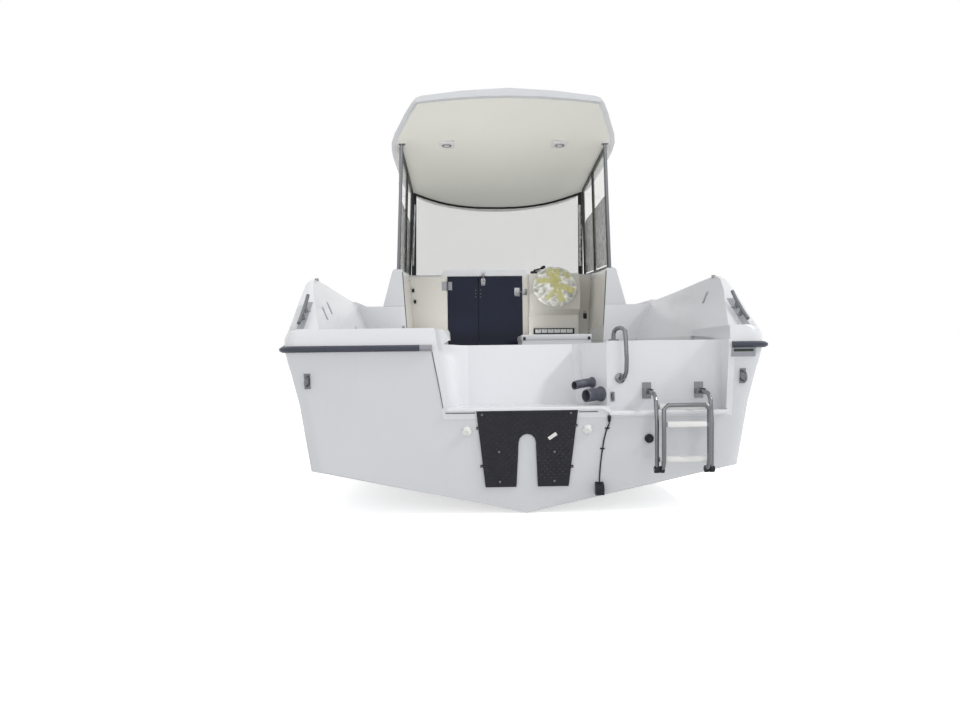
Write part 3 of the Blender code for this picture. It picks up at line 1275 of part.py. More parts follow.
def on_hatch(x, along, rise):
    """A point in the hatch's own plane."""
    return hatch_centre + Vector((x, 0, 0)) + hatch_run * along + hatch_up * rise


def hatch_slab(half, low, high, origin=(0, 0, 0), corner=0.04):
    """A rounded square slab in the hatch's plane."""
    plan = []
    for sx, sy, start in ((1, 1, 0), (-1, 1, 90), (-1, -1, 180), (1, -1, 270)):
        centre = (sx * (half - corner), sy * (half - corner))
        plan += arc(centre, corner, start, start + 90, 4)
    return loft([[on_hatch(x, y, rise) for x, y in plan] for rise in (low, high)], origin)


hatch_frame = add("hatch_frame", hatch_slab(HATCH_HALF, -0.030, HATCH_SILL), "white_plastic")
hatch_hole = hidden("hatch_hole", hatch_slab(HATCH_HALF - HATCH_RIM, -0.20, 0.10))
combine(hatch_frame, hatch_hole, "DIFFERENCE")
combine(hatch_frame, trunk_tool, "DIFFERENCE")
combine(trunk, hatch_hole, "DIFFERENCE")
hatch_pin = on_hatch(0, HATCH_HALF + HATCH_PIN_OUT, HATCH_SILL + HATCH_LID / 2)
hatch_axis = empty("hatch_axis", hatch_pin)
lid_low = HATCH_SILL + GAP
lid_parts = [hatch_slab(HATCH_HALF, lid_low, lid_low + HATCH_LID, hatch_pin)]
for sign in (-1, 1):
    x = sign * 0.12
    arm = []
    for dx in (-0.010, 0.010):
        arm.append([on_hatch(x + dx, along, rise) for along, rise in (
            (HATCH_HALF - 0.02, lid_low + 0.002), (HATCH_HALF + HATCH_PIN_OUT, lid_low + 0.002),
            (HATCH_HALF + HATCH_PIN_OUT, lid_low + HATCH_LID - 0.002),
            (HATCH_HALF - 0.02, lid_low + HATCH_LID - 0.002))])
    lid_parts.append(loft(arm, hatch_pin))
    lid_parts.append(turned([(-0.010, HATCH_PIN_R), (0.010, HATCH_PIN_R)],
                            hatch_pin + Vector((x, 0, 0)), (1, 0, 0), 12, hatch_pin))
hatch_lid = weld("hatch_lid", lid_parts, "acrylic", hatch_axis)
for side_name, sign in (("port", -1), ("starboard", 1)):
    x = sign * (0.12 + 0.0103 + 0.010)
    foot = []
    for dx in (-0.010, 0.010):
        foot.append([on_hatch(x + dx, along, rise) for along, rise in (
            (HATCH_HALF + GAP * 2, -0.020), (HATCH_HALF + HATCH_PIN_OUT * 2, -0.020),
            (HATCH_HALF + HATCH_PIN_OUT + 0.007, HATCH_SILL + HATCH_LID / 2 + 0.004),
            (HATCH_HALF + HATCH_PIN_OUT - 0.007, HATCH_SILL + HATCH_LID / 2 + 0.004))])
    foot_body = add(f"hatch_hinge_{side_name}", loft(foot), "stainless")
    combine(foot_body, trunk_tool, "DIFFERENCE")

# Anchor locker in the foredeck with a lid hinged on its aft edge
LOCKER_AFT_Y, LOCKER_FORE_Y = fore(0.7375), fore(0.850)
LOCKER_AFT_X, LOCKER_FORE_X = 0.200, 0.115
LOCKER_LIP = 0.020
LOCKER_LID = 0.016
LOCKER_FLOOR_Z = 0.960


def deck_z(y):
    """Height of the foredeck."""
    return between(STATIONS, y, "deck_z") - 0.001


def locker_plan(grow):
    """The locker's outline in plan, larger by this much all round."""
    return [(-LOCKER_AFT_X - grow, LOCKER_AFT_Y - grow), (LOCKER_AFT_X + grow, LOCKER_AFT_Y - grow),
            (LOCKER_FORE_X + grow, LOCKER_FORE_Y + grow), (-LOCKER_FORE_X - grow, LOCKER_FORE_Y + grow)]


locker_tool = hidden("locker_tool", prism(locker_plan(0), "z", LOCKER_FLOOR_Z, 2.0))
combine(deck, locker_tool, "DIFFERENCE")
combine(hull, locker_tool, "DIFFERENCE")
locker_pin = Vector((0, LOCKER_AFT_Y - LOCKER_LIP - 0.010, deck_z(LOCKER_AFT_Y) + 0.010))
locker_axis = empty("locker_axis", locker_pin)
lid_rings = []
for rise in (GAP * 2, LOCKER_LID):
    lid_rings.append([(x, y, deck_z(y) + rise) for x, y in locker_plan(LOCKER_LIP)])
locker_parts = [loft(lid_rings, locker_pin)]
for sign in (-1, 1):
    x = sign * 0.11
    locker_parts.append(turned([(-0.018, 0.006), (0.018, 0.006)],
                               locker_pin + Vector((x, 0, 0)), (1, 0, 0), 12, locker_pin))
    locker_parts.append(block(
        (x - 0.018, locker_pin.y, locker_pin.z - 0.003),
        (x + 0.018, LOCKER_AFT_Y - LOCKER_LIP + 0.01, locker_pin.z + 0.003), locker_pin))
locker_lid = weld("anchor_locker_lid", locker_parts, "gelcoat", locker_axis)
for side_name, sign in (("port", -1), ("starboard", 1)):
    x = sign * (0.11 + 0.0183 + 0.008)
    ear = [(locker_pin.y - 0.010, deck_z(locker_pin.y) + GAP * 3), (locker_pin.y + 0.007, deck_z(locker_pin.y) + GAP * 3),
           (locker_pin.y + 0.006, locker_pin.z + 0.006), (locker_pin.y - 0.006, locker_pin.z + 0.006)]
    add(f"locker_hinge_{side_name}", prism(ear, "x", x - 0.008, x + 0.008), "stainless")

# Bow roller and pulpit rail
roller_base = STATIONS[-1].top_z - 0.003
roller_parts = [
    block((-0.045, LENGTH - 0.26, roller_base + 0.0035), (0.045, LENGTH + 0.06, roller_base + 0.0085)),
    block((-0.045, LENGTH - 0.26, roller_base + 0.004), (-0.040, LENGTH + 0.06, roller_base + 0.050)),
    block((0.040, LENGTH - 0.26, roller_base + 0.004), (0.045, LENGTH + 0.06, roller_base + 0.050)),
    turned([(-0.042, 0.016), (0.042, 0.016)], (0, LENGTH + 0.035, roller_base + 0.030), (1, 0, 0), 12),
]
weld("bow_roller", roller_parts, "stainless")
PULPIT_R = 0.0125
PULPIT_AFT_Y = fore(0.225)
PULPIT_FEET = (fore(0.500), fore(0.766))
pulpit_half = [(PULPIT_AFT_Y, 0.050, 0.0), (PULPIT_AFT_Y + 0.04, 0.052, 0.16), (fore(0.287), 0.060, 0.262),
               (fore(0.469), 0.062, 0.300), (fore(0.656), 0.058, 0.325), (fore(0.812), 0.052, 0.338),
               (fore(0.912), 0.040, 0.344)]


def on_toe_rail(y, inward, rise):
    """A point above the toe rail on the starboard side."""
    return (HALF_BEAM * between(STATIONS, y, "joint") - inward, y, between(STATIONS, y, "top_z") + rise)


pulpit_side = [on_toe_rail(y, inward, rise + (0.004 if rise == 0 else 0)) for y, inward, rise in pulpit_half]
pulpit_nose = [(0.14, LENGTH - 0.10, pulpit_side[-1][2] + 0.004), (0.0, LENGTH - 0.04, pulpit_side[-1][2] + 0.005)]
other_side = [(-x, y, z) for x, y, z in (pulpit_side + pulpit_nose[:1])[::-1]]
pulpit_parts = [tube(pulpit_side + pulpit_nose + other_side, PULPIT_R, 10)]
for y in (PULPIT_AFT_Y, *PULPIT_FEET):
    for sign in (-1, 1):
        x, _, top = on_toe_rail(y, 0.050, 0.0)
        if y in PULPIT_FEET:
            high = on_toe_rail(y, 0.060, 0.300 if y == PULPIT_FEET[0] else 0.330)
            pulpit_parts.append(tube([(sign * x, y, top + 0.004), (sign * high[0], y, high[2])], 0.011, 8))
        pulpit_parts.append(turned([(-0.012, 0.022), (0.005, 0.022)], (sign * x, y, top), (0, 0, 1), 12))
combine(weld("bow_rail", pulpit_parts, "stainless"), deck_tool, "DIFFERENCE")

# Roof downlights and the rigging hose boots on the well's starboard wall
for side_name, sign in (("port", -1), ("starboard", 1)):
    lamp_x, lamp_y = 0.425, POST_HEAD[1] + 0.080
    lamp = turned([(-0.010, 0.030), (0.004, 0.030), (0.008, 0.022)],
                  (sign * lamp_x, lamp_y, roof_under(lamp_x, lamp_y)), (0, 0, -1), 16)
    body = add(f"downlight_{side_name}", lamp, "stainless")
    combine(body, roof_tool, "DIFFERENCE")
wall_run = Vector((WELL_HALF_FRONT - NOTCH_STEP_X, WELL_SIDE_Y - STEP_WALL_Y, 0))
wall_out = Vector((-wall_run.y, wall_run.x, 0)).normalized()
Boot = namedtuple("Boot", "share z reach radius flange")
for i, b in enumerate((Boot(0.60, 0.630, 0.120, 0.022, 0.028), Boot(0.24, 0.574, 0.100, 0.032, 0.038))):
    root = Vector((NOTCH_STEP_X, STEP_WALL_Y, b.z)) + wall_run * b.share
    boot = [(GAP, b.flange), (0.008, b.flange), (0.010, b.radius), (b.reach, b.radius * 0.92)]
    add(f"rigging_boot_{i + 1}", turned(boot, root, wall_out, 14), "black")
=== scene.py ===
"""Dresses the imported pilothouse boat: finishes, fittings, protective film, light and camera.

Places are in the row frame, in metres: +X is starboard, +Y the bow, +Z up, with the
waterline at z = 0 and the middle of the boat at y = 0. Boat coordinates are measured from
the foot of the transom instead, and pass through afloat() on their way to the row frame.
"""

import logging
import math
from collections.abc import Callable, Iterable, Mapping, Sequence
from dataclasses import dataclass
from enum import Enum

import bmesh
import bpy
from mathutils import Matrix, Vector, noise
from mathutils.bvhtree import BVHTree

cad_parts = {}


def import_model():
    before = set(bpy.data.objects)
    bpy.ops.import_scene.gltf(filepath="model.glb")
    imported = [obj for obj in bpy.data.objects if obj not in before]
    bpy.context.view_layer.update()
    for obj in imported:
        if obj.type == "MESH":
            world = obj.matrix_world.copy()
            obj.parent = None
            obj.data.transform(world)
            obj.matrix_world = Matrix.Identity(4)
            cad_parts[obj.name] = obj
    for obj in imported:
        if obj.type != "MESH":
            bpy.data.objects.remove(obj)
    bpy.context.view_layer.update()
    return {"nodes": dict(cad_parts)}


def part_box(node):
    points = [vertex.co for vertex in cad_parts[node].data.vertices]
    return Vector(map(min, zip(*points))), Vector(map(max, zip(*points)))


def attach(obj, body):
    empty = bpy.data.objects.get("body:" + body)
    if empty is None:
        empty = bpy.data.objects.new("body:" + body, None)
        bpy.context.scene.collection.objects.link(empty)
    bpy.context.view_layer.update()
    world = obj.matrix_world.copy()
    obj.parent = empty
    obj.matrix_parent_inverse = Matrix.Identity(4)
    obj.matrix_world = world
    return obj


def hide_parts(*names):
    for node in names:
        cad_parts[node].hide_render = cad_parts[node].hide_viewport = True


LOG = logging.getLogger("pilothouse")

STERN_Y = -2.95
KEEL_Z = -0.30
TRANSOM_FOOT_Y = 0.10
TRANSOM_RAKE = 0.16
UP = Vector((0.0, 0.0, 1.0))
ASTERN = Vector((0.0, -1.0, 0.0))
STARBOARD = Vector((1.0, 0.0, 0.0))
TRANSOM_OUT = Vector((0.0, -1.0, -TRANSOM_RAKE)).normalized()
TRANSOM_UP = Vector((0.0, -TRANSOM_RAKE, 1.0)).normalized()
SIDES = (("port", -1.0), ("starboard", 1.0))
Colour = tuple[float, float, float]
Size = tuple[float, float, float]
Pixel = tuple[float, float]
Profile = Sequence[tuple[float, float]]
Path = Sequence[Vector]
Place = tuple[Vector, Vector]
Ray = tuple[Callable[[float], Vector], Vector]


def afloat(x: float, y: float, z: float) -> Vector:
    """Turn boat coordinates into the row frame."""
    return Vector((x, y + STERN_Y, z + KEEL_Z))


def on_transom(x: float, z: float, away: float = 0.0) -> Vector:
    """Find a point on the transom's raked face, or this far behind it.

    Args:
        x: distance to starboard.
        z: height above the keel.
        away: distance behind the face.

    Returns:
        The point in the row frame.
    """
    return afloat(x, TRANSOM_FOOT_Y - TRANSOM_RAKE * z, z) + TRANSOM_OUT * away


def spread(low: float, high: float, inset: float, steps: int) -> list[float]:
    """Give evenly spaced values from one end to the other, inset at both."""
    return [low + inset + (high - low - 2 * inset) * k / steps for k in range(steps + 1)]


def circle(centre: Vector, across: Vector, up: Vector, radius: float, count: int,
           start: float = 0.0) -> list[Vector]:
    """Give points round a circle.

    Args:
        centre: its middle.
        across: the direction at no turn.
        up: the direction after a quarter turn.
        radius: its radius.
        count: how many points.
        start: the first point's turn in radians.

    Returns:
        The points in order.
    """
    turns = [math.tau * k / count + start for k in range(count)]
    return [centre + (across * math.cos(t) + up * math.sin(t)) * radius for t in turns]


def add_object(name: str, data: bpy.types.ID) -> bpy.types.Object:
    """Add an object with this data to the scene."""
    made = bpy.data.objects.new(name, data)
    bpy.context.scene.collection.objects.link(made)
    return made


class Bench:
    """Makes, sets and links the nodes of one tree."""

    def __init__(self, tree: bpy.types.NodeTree) -> None:
        """Start on an empty tree."""
        self.tree = tree
        tree.nodes.clear()

    def node(
        self,
        kind: str,
        settings: Mapping[str, object] | None = None,
        inputs: Mapping[str | int, object] | None = None,
    ) -> bpy.types.Node:
        """Add a node.

        Args:
            kind: the node's type.
            settings: its properties.
            inputs: values, sockets, nodes or signals for its sockets.

        Returns:
            The new node.
        """
        made = self.tree.nodes.new(kind)
        for name, value in (settings or {}).items():
            setattr(made, name, value)
        for name, value in (inputs or {}).items():
            self.feed(made.inputs[name], value)
        return made

    def feed(self, socket: bpy.types.NodeSocket, value: object) -> None:
        """Link a socket, or set its value.

        Args:
            socket: the input.
            value: a number, colour, socket, node or signal.
        """
        if isinstance(value, Signal):
            value = value.socket
        if isinstance(value, bpy.types.Node):
            value = value.outputs[0]
        if isinstance(value, bpy.types.NodeSocket):
            self.tree.links.new(value, socket)
        elif isinstance(value, tuple) and len(value) == 3 and socket.type == "RGBA":
            socket.default_value = (*value, 1.0)
        else:
            socket.default_value = value

    def signal(
        self,
        kind: str,
        settings: Mapping[str, object] | None = None,
        inputs: Mapping[str | int, object] | None = None,
        output: int | str = 0,
    ) -> "Signal":
        """Add a node and take one of its outputs as a signal."""
        return Signal(self, self.node(kind, settings, inputs).outputs[output])


class Signal:
    """A number on a socket, on which Python's operators add Math nodes."""

    def __init__(self, bench: Bench, socket: bpy.types.NodeSocket) -> None:
        """Wrap a socket."""
        self.bench = bench
        self.socket = socket

    def math(self, operation: str, *values: object, clamp: bool = False) -> "Signal":
        """Add one Math node.

        Args:
            operation: what it works out.
            values: its inputs in order.
            clamp: keep the result between 0 and 1.

        Returns:
            The result.
        """
        return self.bench.signal(
            "ShaderNodeMath", {"operation": operation, "use_clamp": clamp}, dict(enumerate(values))
        )

    def __add__(self, other: object) -> "Signal":
        """Add."""
        return self.math("ADD", self, other)

    def __radd__(self, other: object) -> "Signal":
        """Add, the other way round."""
        return self.math("ADD", other, self)

    def __sub__(self, other: object) -> "Signal":
        """Subtract."""
        return self.math("SUBTRACT", self, other)

    def __rsub__(self, other: object) -> "Signal":
        """Subtract this from the other."""
        return self.math("SUBTRACT", other, self)

    def __mul__(self, other: object) -> "Signal":
        """Multiply."""
        return self.math("MULTIPLY", self, other)

    def __rmul__(self, other: object) -> "Signal":
        """Multiply, the other way round."""
        return self.math("MULTIPLY", other, self)

    def __truediv__(self, other: object) -> "Signal":
        """Divide."""
        return self.math("DIVIDE", self, other)

    def __gt__(self, other: object) -> "Signal":
        """Give 1 where this is greater."""
        return self.math("GREATER_THAN", self, other)

    def __lt__(self, other: object) -> "Signal":
        """Give 1 where this is less."""
        return self.math("LESS_THAN", self, other)

    def sine(self) -> "Signal":
        """Take the sine."""
        return self.math("SINE", self)

    def size(self) -> "Signal":
        """Take the size without its sign."""
        return self.math("ABSOLUTE", self)

    def ramp(self, low: float, high: float) -> "Signal":
        """Rise smoothly from 0 at low to 1 at high."""
        return self.bench.signal(
            "ShaderNodeMapRange", {"interpolation_type": "SMOOTHSTEP"},
            {"Value": self, "From Min": low, "From Max": high},
        )


@dataclass(frozen=True)
class Finish:
    """A surface finish; its material is made once.

    Lengths are in metres: mottle_size for the slow wander of the tone, grain_size for the
    fine bump, whose height is grain. The wander is the share by which the gloss varies.
    """

    name: str
    colour: Colour
    roughness: float = 0.4
    metallic: float = 0.0
    coat: float = 0.0
    gloss: float = 0.5
    alpha: float = 1.0
    mottle: float = 0.03
    mottle_size: float = 0.30
    grain: float = 0.0
    grain_size: float = 0.003
    stretch: Size = (1.0, 1.0, 1.0)
    wander: float = 0.12

    def material(self) -> bpy.types.Material:
        """Give the material, made on first use.

        Returns:
            The material.
        """
        found = bpy.data.materials.get(self.name)
        if found is None:
            found = bpy.data.materials.new(self.name)
            found.use_nodes = True
            bench = Bench(found.node_tree)
            shader = bench.node("ShaderNodeBsdfPrincipled", None, {
                "Roughness": self.roughness, "Metallic": self.metallic,
                "Coat Weight": self.coat, "Alpha": self.alpha, "Specular IOR Level": self.gloss,
            })
            bench.node("ShaderNodeOutputMaterial", None, {"Surface": shader})
            self.dress(bench, shader, bench.signal("ShaderNodeTexCoord", output="Object"))
        return found

    def field(self, bench: Bench, where: Signal, size: float, detail: float = 3.0) -> Signal:
        """Give noise from 0 to 1 whose features are about this size."""
        return self.drawn(bench, where, self.stretch, 1.0 / size, detail)

    def drawn(self, bench: Bench, where: Signal, stretch: Size, scale: float, detail: float) -> Signal:
        """Give noise from 0 to 1, drawn out.

        Args:
            bench: the material's bench.
            where: the place on the piece.
            stretch: how much finer the noise is along each axis.
            scale: features in a metre, before the stretch.
            detail: octaves of finer features.

        Returns:
            The noise.
        """
        place = bench.node("ShaderNodeMapping", None, {"Vector": where, "Scale": stretch})
        return bench.signal("ShaderNodeTexNoise", None, {"Vector": place, "Scale": scale, "Detail": detail})

    def level(self, bench: Bench) -> Signal:
        """Give how far a face looks up: 1 on level ones, 0 on upright ones."""
        normal = bench.signal("ShaderNodeNewGeometry", output="Normal")
        return bench.signal("ShaderNodeSeparateXYZ", None, {"Vector": normal}, 2)

    def tint(self, bench: Bench, share: object, low: object, high: object, blend: str = "MIX") -> Signal:
        """Mix two colours.

        Args:
            bench: the material's bench.
            share: how much of the second colour.
            low: the first colour.
            high: the second colour.
            blend: how the second is laid on the first.

        Returns:
            The mixed colour.
        """
        mix = bench.node("ShaderNodeMix", {"data_type": "RGBA", "blend_type": blend}, {"Factor": share})
        bench.feed(mix.inputs[6], low)
        bench.feed(mix.inputs[7], high)
        return Signal(bench, mix.outputs[2])

    def mottled(self, bench: Bench, share: Signal) -> Signal:
        """Let the finish's colour wander by its mottle."""
        return self.tint(bench, share, self.shaded(-self.mottle), self.shaded(self.mottle))

    def shaded(self, amount: float) -> Colour:
        """Give the finish's colour, darker or lighter by this share."""
        return tuple(min(1.0, c * (1.0 + amount)) for c in self.colour)

    def bump(self, bench: Bench, shader: bpy.types.Node, height: Signal, depth: float) -> None:
        """Feed a height into the shader's normal."""
        relief = bench.node("ShaderNodeBump", None, {"Height": height, "Distance": depth, "Strength": 1.0})
        bench.feed(shader.inputs["Normal"], relief)

    def dress(self, bench: Bench, shader: bpy.types.Node, where: Signal) -> None:
        """Wander the tone and the gloss, and add the grain."""
        tone = self.mottled(bench, self.field(bench, where, self.mottle_size))
        bench.feed(shader.inputs["Base Color"], tone)
        fine = self.field(bench, where, self.grain_size)
        bench.feed(shader.inputs["Roughness"], self.roughness + (fine - 0.5) * self.wander)
        if self.grain:
            self.bump(bench, shader, fine, self.grain)


@dataclass(frozen=True)
class Gelcoat(Finish):
    """Polished gelcoat with water runs down upright faces and an orange peel."""

    run: float = 0.025
    run_stretch: Size = (22.0, 22.0, 1.1)
    dust: float = 0.010
    dust_size: float = 0.055
    dust_gloss: float = 2.0
    grime: Colour = (0.30, 0.29, 0.26)
    peel_size: float = 0.006
    wander: float = 0.02

    def dress(self, bench: Bench, shader: bpy.types.Node, where: Signal) -> None:
        """Lay the tone, the runs and the dust."""
        level = self.level(bench)
        runs = self.drawn(bench, where, self.run_stretch, 1.0, 4.0).ramp(0.52, 0.80)
        running = runs * (1.0 - level.size().ramp(0.30, 0.75)) * self.run
        patches = self.field(bench, where, self.dust_size).ramp(0.45, 0.75)
        settled = patches * level.ramp(0.6, 0.95) * self.dust
        wander = self.field(bench, where, self.mottle_size)
        dirt = self.tint(bench, running + settled, (1, 1, 1), self.grime)
        washed = self.tint(bench, 1.0, self.mottled(bench, wander), dirt, "MULTIPLY")
        bench.feed(shader.inputs["Base Color"], washed)
        gloss = self.roughness + wander * self.wander + settled * self.dust_gloss
        bench.feed(shader.inputs["Roughness"], gloss)
        self.bump(bench, shader, self.field(bench, where, self.peel_size, 1.0), self.grain)


@dataclass(frozen=True)
class NonSkid(Gelcoat):
    """Gelcoat with moulded diamonds on its level faces."""

    pitch: float = 0.012
    relief: float = 0.0008
    flat: float = 0.985

    def dress(self, bench: Bench, shader: bpy.types.Node, where: Signal) -> None:
        """Add the diamonds to the polished gelcoat."""
        super().dress(bench, shader, where)
        axes = bench.node("ShaderNodeSeparateXYZ", None, {"Vector": where})
        across, along = Signal(bench, axes.outputs[0]), Signal(bench, axes.outputs[1])
        turn = math.pi / self.pitch
        diamonds = ((across + along) * turn).sine() * ((across - along) * turn).sine()
        flat = self.level(bench) > self.flat
        self.bump(bench, shader, diamonds.ramp(0.1, 0.6) * flat, self.relief)


@dataclass(frozen=True)
class Steel(Finish):
    """Polished stainless steel with fine drawn lines and water spots."""

    line_stretch: Size = (260.0, 260.0, 14.0)
    line_depth: float = 0.00003
    line_gloss: float = 0.08
    spot_size: float = 0.012
    spot_gloss: float = 0.12

    def dress(self, bench: Bench, shader: bpy.types.Node, where: Signal) -> None:
        """Vary the gloss along the drawn lines."""
        shader.inputs["Base Color"].default_value = (*self.colour, 1.0)
        lines = self.drawn(bench, where, self.line_stretch, 1.0, 2.0)
        spots = self.field(bench, where, self.spot_size).ramp(0.60, 0.72)
        gloss = self.roughness + lines * self.line_gloss + spots * self.spot_gloss
        bench.feed(shader.inputs["Roughness"], gloss)
        self.bump(bench, shader, lines, self.line_depth)


@dataclass(frozen=True)
class Film(Finish):
    """Thin protective film, crumpled, denser along its creases."""

    crease_size: float = 0.03
    streak_share: float = 0.4
    crease_cover: float = 0.25
    streak_cover: float = 0.5
    crease_rise: float = 0.6

    def dress(self, bench: Bench, shader: bpy.types.Node, where: Signal) -> None:
        """Streak the film's tone and cover by its creases."""
        creases = bench.node("ShaderNodeMapping", None, {"Vector": where, "Scale": self.stretch})
        cells = bench.signal(
            "ShaderNodeTexVoronoi", {"feature": "DISTANCE_TO_EDGE"},
            {"Vector": creases, "Scale": 1.0 / self.crease_size}, "Distance",
        )
        streak = self.field(bench, where, self.crease_size * self.streak_share, 5.0)
        fold = 1.0 - cells.ramp(0.0, 0.12)
        bench.feed(shader.inputs["Base Color"], self.mottled(bench, streak.ramp(0.30, 0.70)))
        cover = fold * self.crease_cover + streak.ramp(0.35, 0.7) * self.streak_cover
        bench.feed(shader.inputs["Alpha"], cover.math("ADD", cover, self.alpha, clamp=True))
        self.bump(bench, shader, streak + fold * self.crease_rise, self.grain)


@dataclass(frozen=True)
class Milky(Finish):
    """Milky protective film, greyer towards its top. Its foot and top are heights."""

    foot: float = 1.22
    top: float = 1.95
    fade: float = 0.20
    wander: float = 0.15

    def dress(self, bench: Bench, shader: bpy.types.Node, where: Signal) -> None:
        """Grade the tone with height and ripple the film."""
        rise = bench.signal("ShaderNodeSeparateXYZ", None, {"Vector": where}, 2) - self.foot
        share = rise.math("DIVIDE", rise, self.top - self.foot, clamp=True)
        bench.feed(shader.inputs["Base Color"], self.tint(bench, share, self.colour, self.shaded(-self.fade)))
        ripple = self.field(bench, where, self.grain_size)
        bench.feed(shader.inputs["Roughness"], self.roughness + (ripple - 0.5) * self.wander)
        self.bump(bench, shader, ripple, self.grain)


WHITE = Gelcoat("white_gelcoat", (0.65, 0.665, 0.69), 0.22, coat=0.25, mottle=0.004, grain=0.00006)
DECK = NonSkid("deck_gelcoat", (0.74, 0.75, 0.78), 0.24, coat=0.20, mottle=0.004, grain=0.00006)
CREAM = Gelcoat("cream_liner", (0.68, 0.665, 0.615), 0.36, coat=0.05, mottle=0.012, grain=0.00008, run=0.02)
SOLE = NonSkid("cream_sole", (0.76, 0.75, 0.71), 0.40, mottle=0.015, grain=0.00008)
# The headliner's cream is set lighter than its own colour, about 0.80, painting light under the roof.
HEADLINER = Finish("headliner", (0.87, 0.865, 0.80), 0.50, mottle=0.02, mottle_size=0.5, grain=0.0001,
                   grain_size=0.004)
FENDER = Finish("fender_rubber", (0.052, 0.058, 0.080), 0.46, gloss=0.30, mottle=0.18, mottle_size=0.10,
                grain=0.00015, grain_size=0.002)
RUBBER = Finish("black_rubber", (0.022, 0.022, 0.026), 0.60, gloss=0.30, mottle=0.20, mottle_size=0.05,
                grain=0.00012, grain_size=0.0015)
HOSE = Finish("grey_hose", (0.095, 0.105, 0.130), 0.50, mottle=0.20, mottle_size=0.03, grain=0.0001,
              grain_size=0.002)
ACRYLIC = Finish("navy_acrylic", (0.010, 0.014, 0.030), 0.10, gloss=0.14, mottle=0.30, mottle_size=0.20)
BLACK = Finish("black_plastic", (0.016, 0.016, 0.019), 0.42, gloss=0.30, mottle=0.15, mottle_size=0.05,
               grain=0.00006, grain_size=0.0012)
PAD = Finish("pad_plastic", (0.015, 0.015, 0.022), 0.34, gloss=0.34, mottle=0.25, mottle_size=0.04,
             grain=0.0001, grain_size=0.0015)
PLASTIC = Finish("white_plastic_moulding", (0.78, 0.78, 0.77), 0.35, mottle=0.02, grain=0.00004)
ROCKER = Finish("white_rocker", (0.70, 0.71, 0.72), 0.30, mottle=0.02, grain=0.00003)
FRAME = Finish("black_frame", (0.014, 0.014, 0.015), 0.38, gloss=0.30, mottle=0.15, mottle_size=0.06,
               grain=0.00004)
# The steels' colours are set far darker than bare steel, painting the dark surroundings that the polished
# tubes reflect.
STAINLESS = Steel("polished_stainless", (0.22, 0.225, 0.24), 0.16, 1.0)
SATIN = Steel("satin_steel", (0.22, 0.22, 0.23), 0.30, 1.0)
CHROME = Steel("bright_chrome", (0.34, 0.34, 0.355), 0.12, 1.0)
GLASS = Finish("window_glass", (0.62, 0.64, 0.58), 0.04, alpha=0.16, mottle=0.01)
LENS = Finish("lamp_lens", (0.72, 0.72, 0.68), 0.15, coat=0.5, mottle=0.02)
# Dark grey for the sealant of the hull and deck joint; the same colour paints the shadow lines under the lips
# and the shadow gaps at the coamings' aft ends.
SEALANT_AND_SHADOW = Finish("grey_sealant_and_painted_shadow", (0.13, 0.135, 0.145), 0.55, mottle=0.15, mottle_size=0.05)
CAP = Finish("grey_cap", (0.27, 0.27, 0.30), 0.30, coat=0.3, mottle=0.05)
# Grey for inlays, plates and buttons; on the cleats' pads and the vent plate under the rub rail it paints the
# shade of a recess.
INLAY_AND_SHADE = Finish("grey_inlay_and_painted_shade", (0.33, 0.35, 0.38), 0.45, mottle=0.08, mottle_size=0.03, grain=0.0001)
# Dark olive that paints the shade inside the vent's slot.
SHADE = Finish("olive_painted_shade", (0.045, 0.055, 0.045), 0.55, gloss=0.25, mottle=0.20, mottle_size=0.02)
LABEL = Finish("blank_label", (0.74, 0.74, 0.72), 0.50, mottle=0.04, mottle_size=0.02)
SIDE_FILM = Film("crumpled_film", (0.15, 0.15, 0.155), 0.22, alpha=0.66, mottle=0.80, grain=0.004,
                 stretch=(1.0, 1.0, 0.45), crease_size=0.045)
STRIP_FILM = Film("film_strip", (0.62, 0.62, 0.63), 0.25, alpha=0.75, mottle=0.25, grain=0.003,
                  stretch=(1.0, 1.0, 0.25), crease_size=0.030)
SCREEN_FILM = Milky("milky_film", (0.74, 0.74, 0.74), 0.35, alpha=0.22, mottle=0.02, mottle_size=0.30,
                    grain=0.0003, grain_size=0.03)
WRAP = Film("wheel_wrap", (0.84, 0.84, 0.78), 0.30, gloss=0.30, alpha=0.40, mottle=0.05, grain=0.0004,
            crease_size=0.11)
TAPE = Finish("yellow_tape", (0.66, 0.63, 0.27), 0.45, mottle=0.16, mottle_size=0.02, grain=0.0002,
              grain_size=0.006, alpha=0.70)


@dataclass(frozen=True)
class Block:
    """A block with rounded edges: its sizes, the radius of its edges, facets round an edge."""

    size: Size
    edge: float
    facets: int = 2


@dataclass(frozen=True)
class Turning:
    """A turned form: (distance along the axis, radius) pairs and the facets round it."""

    profile: Profile
    sides: int = 24


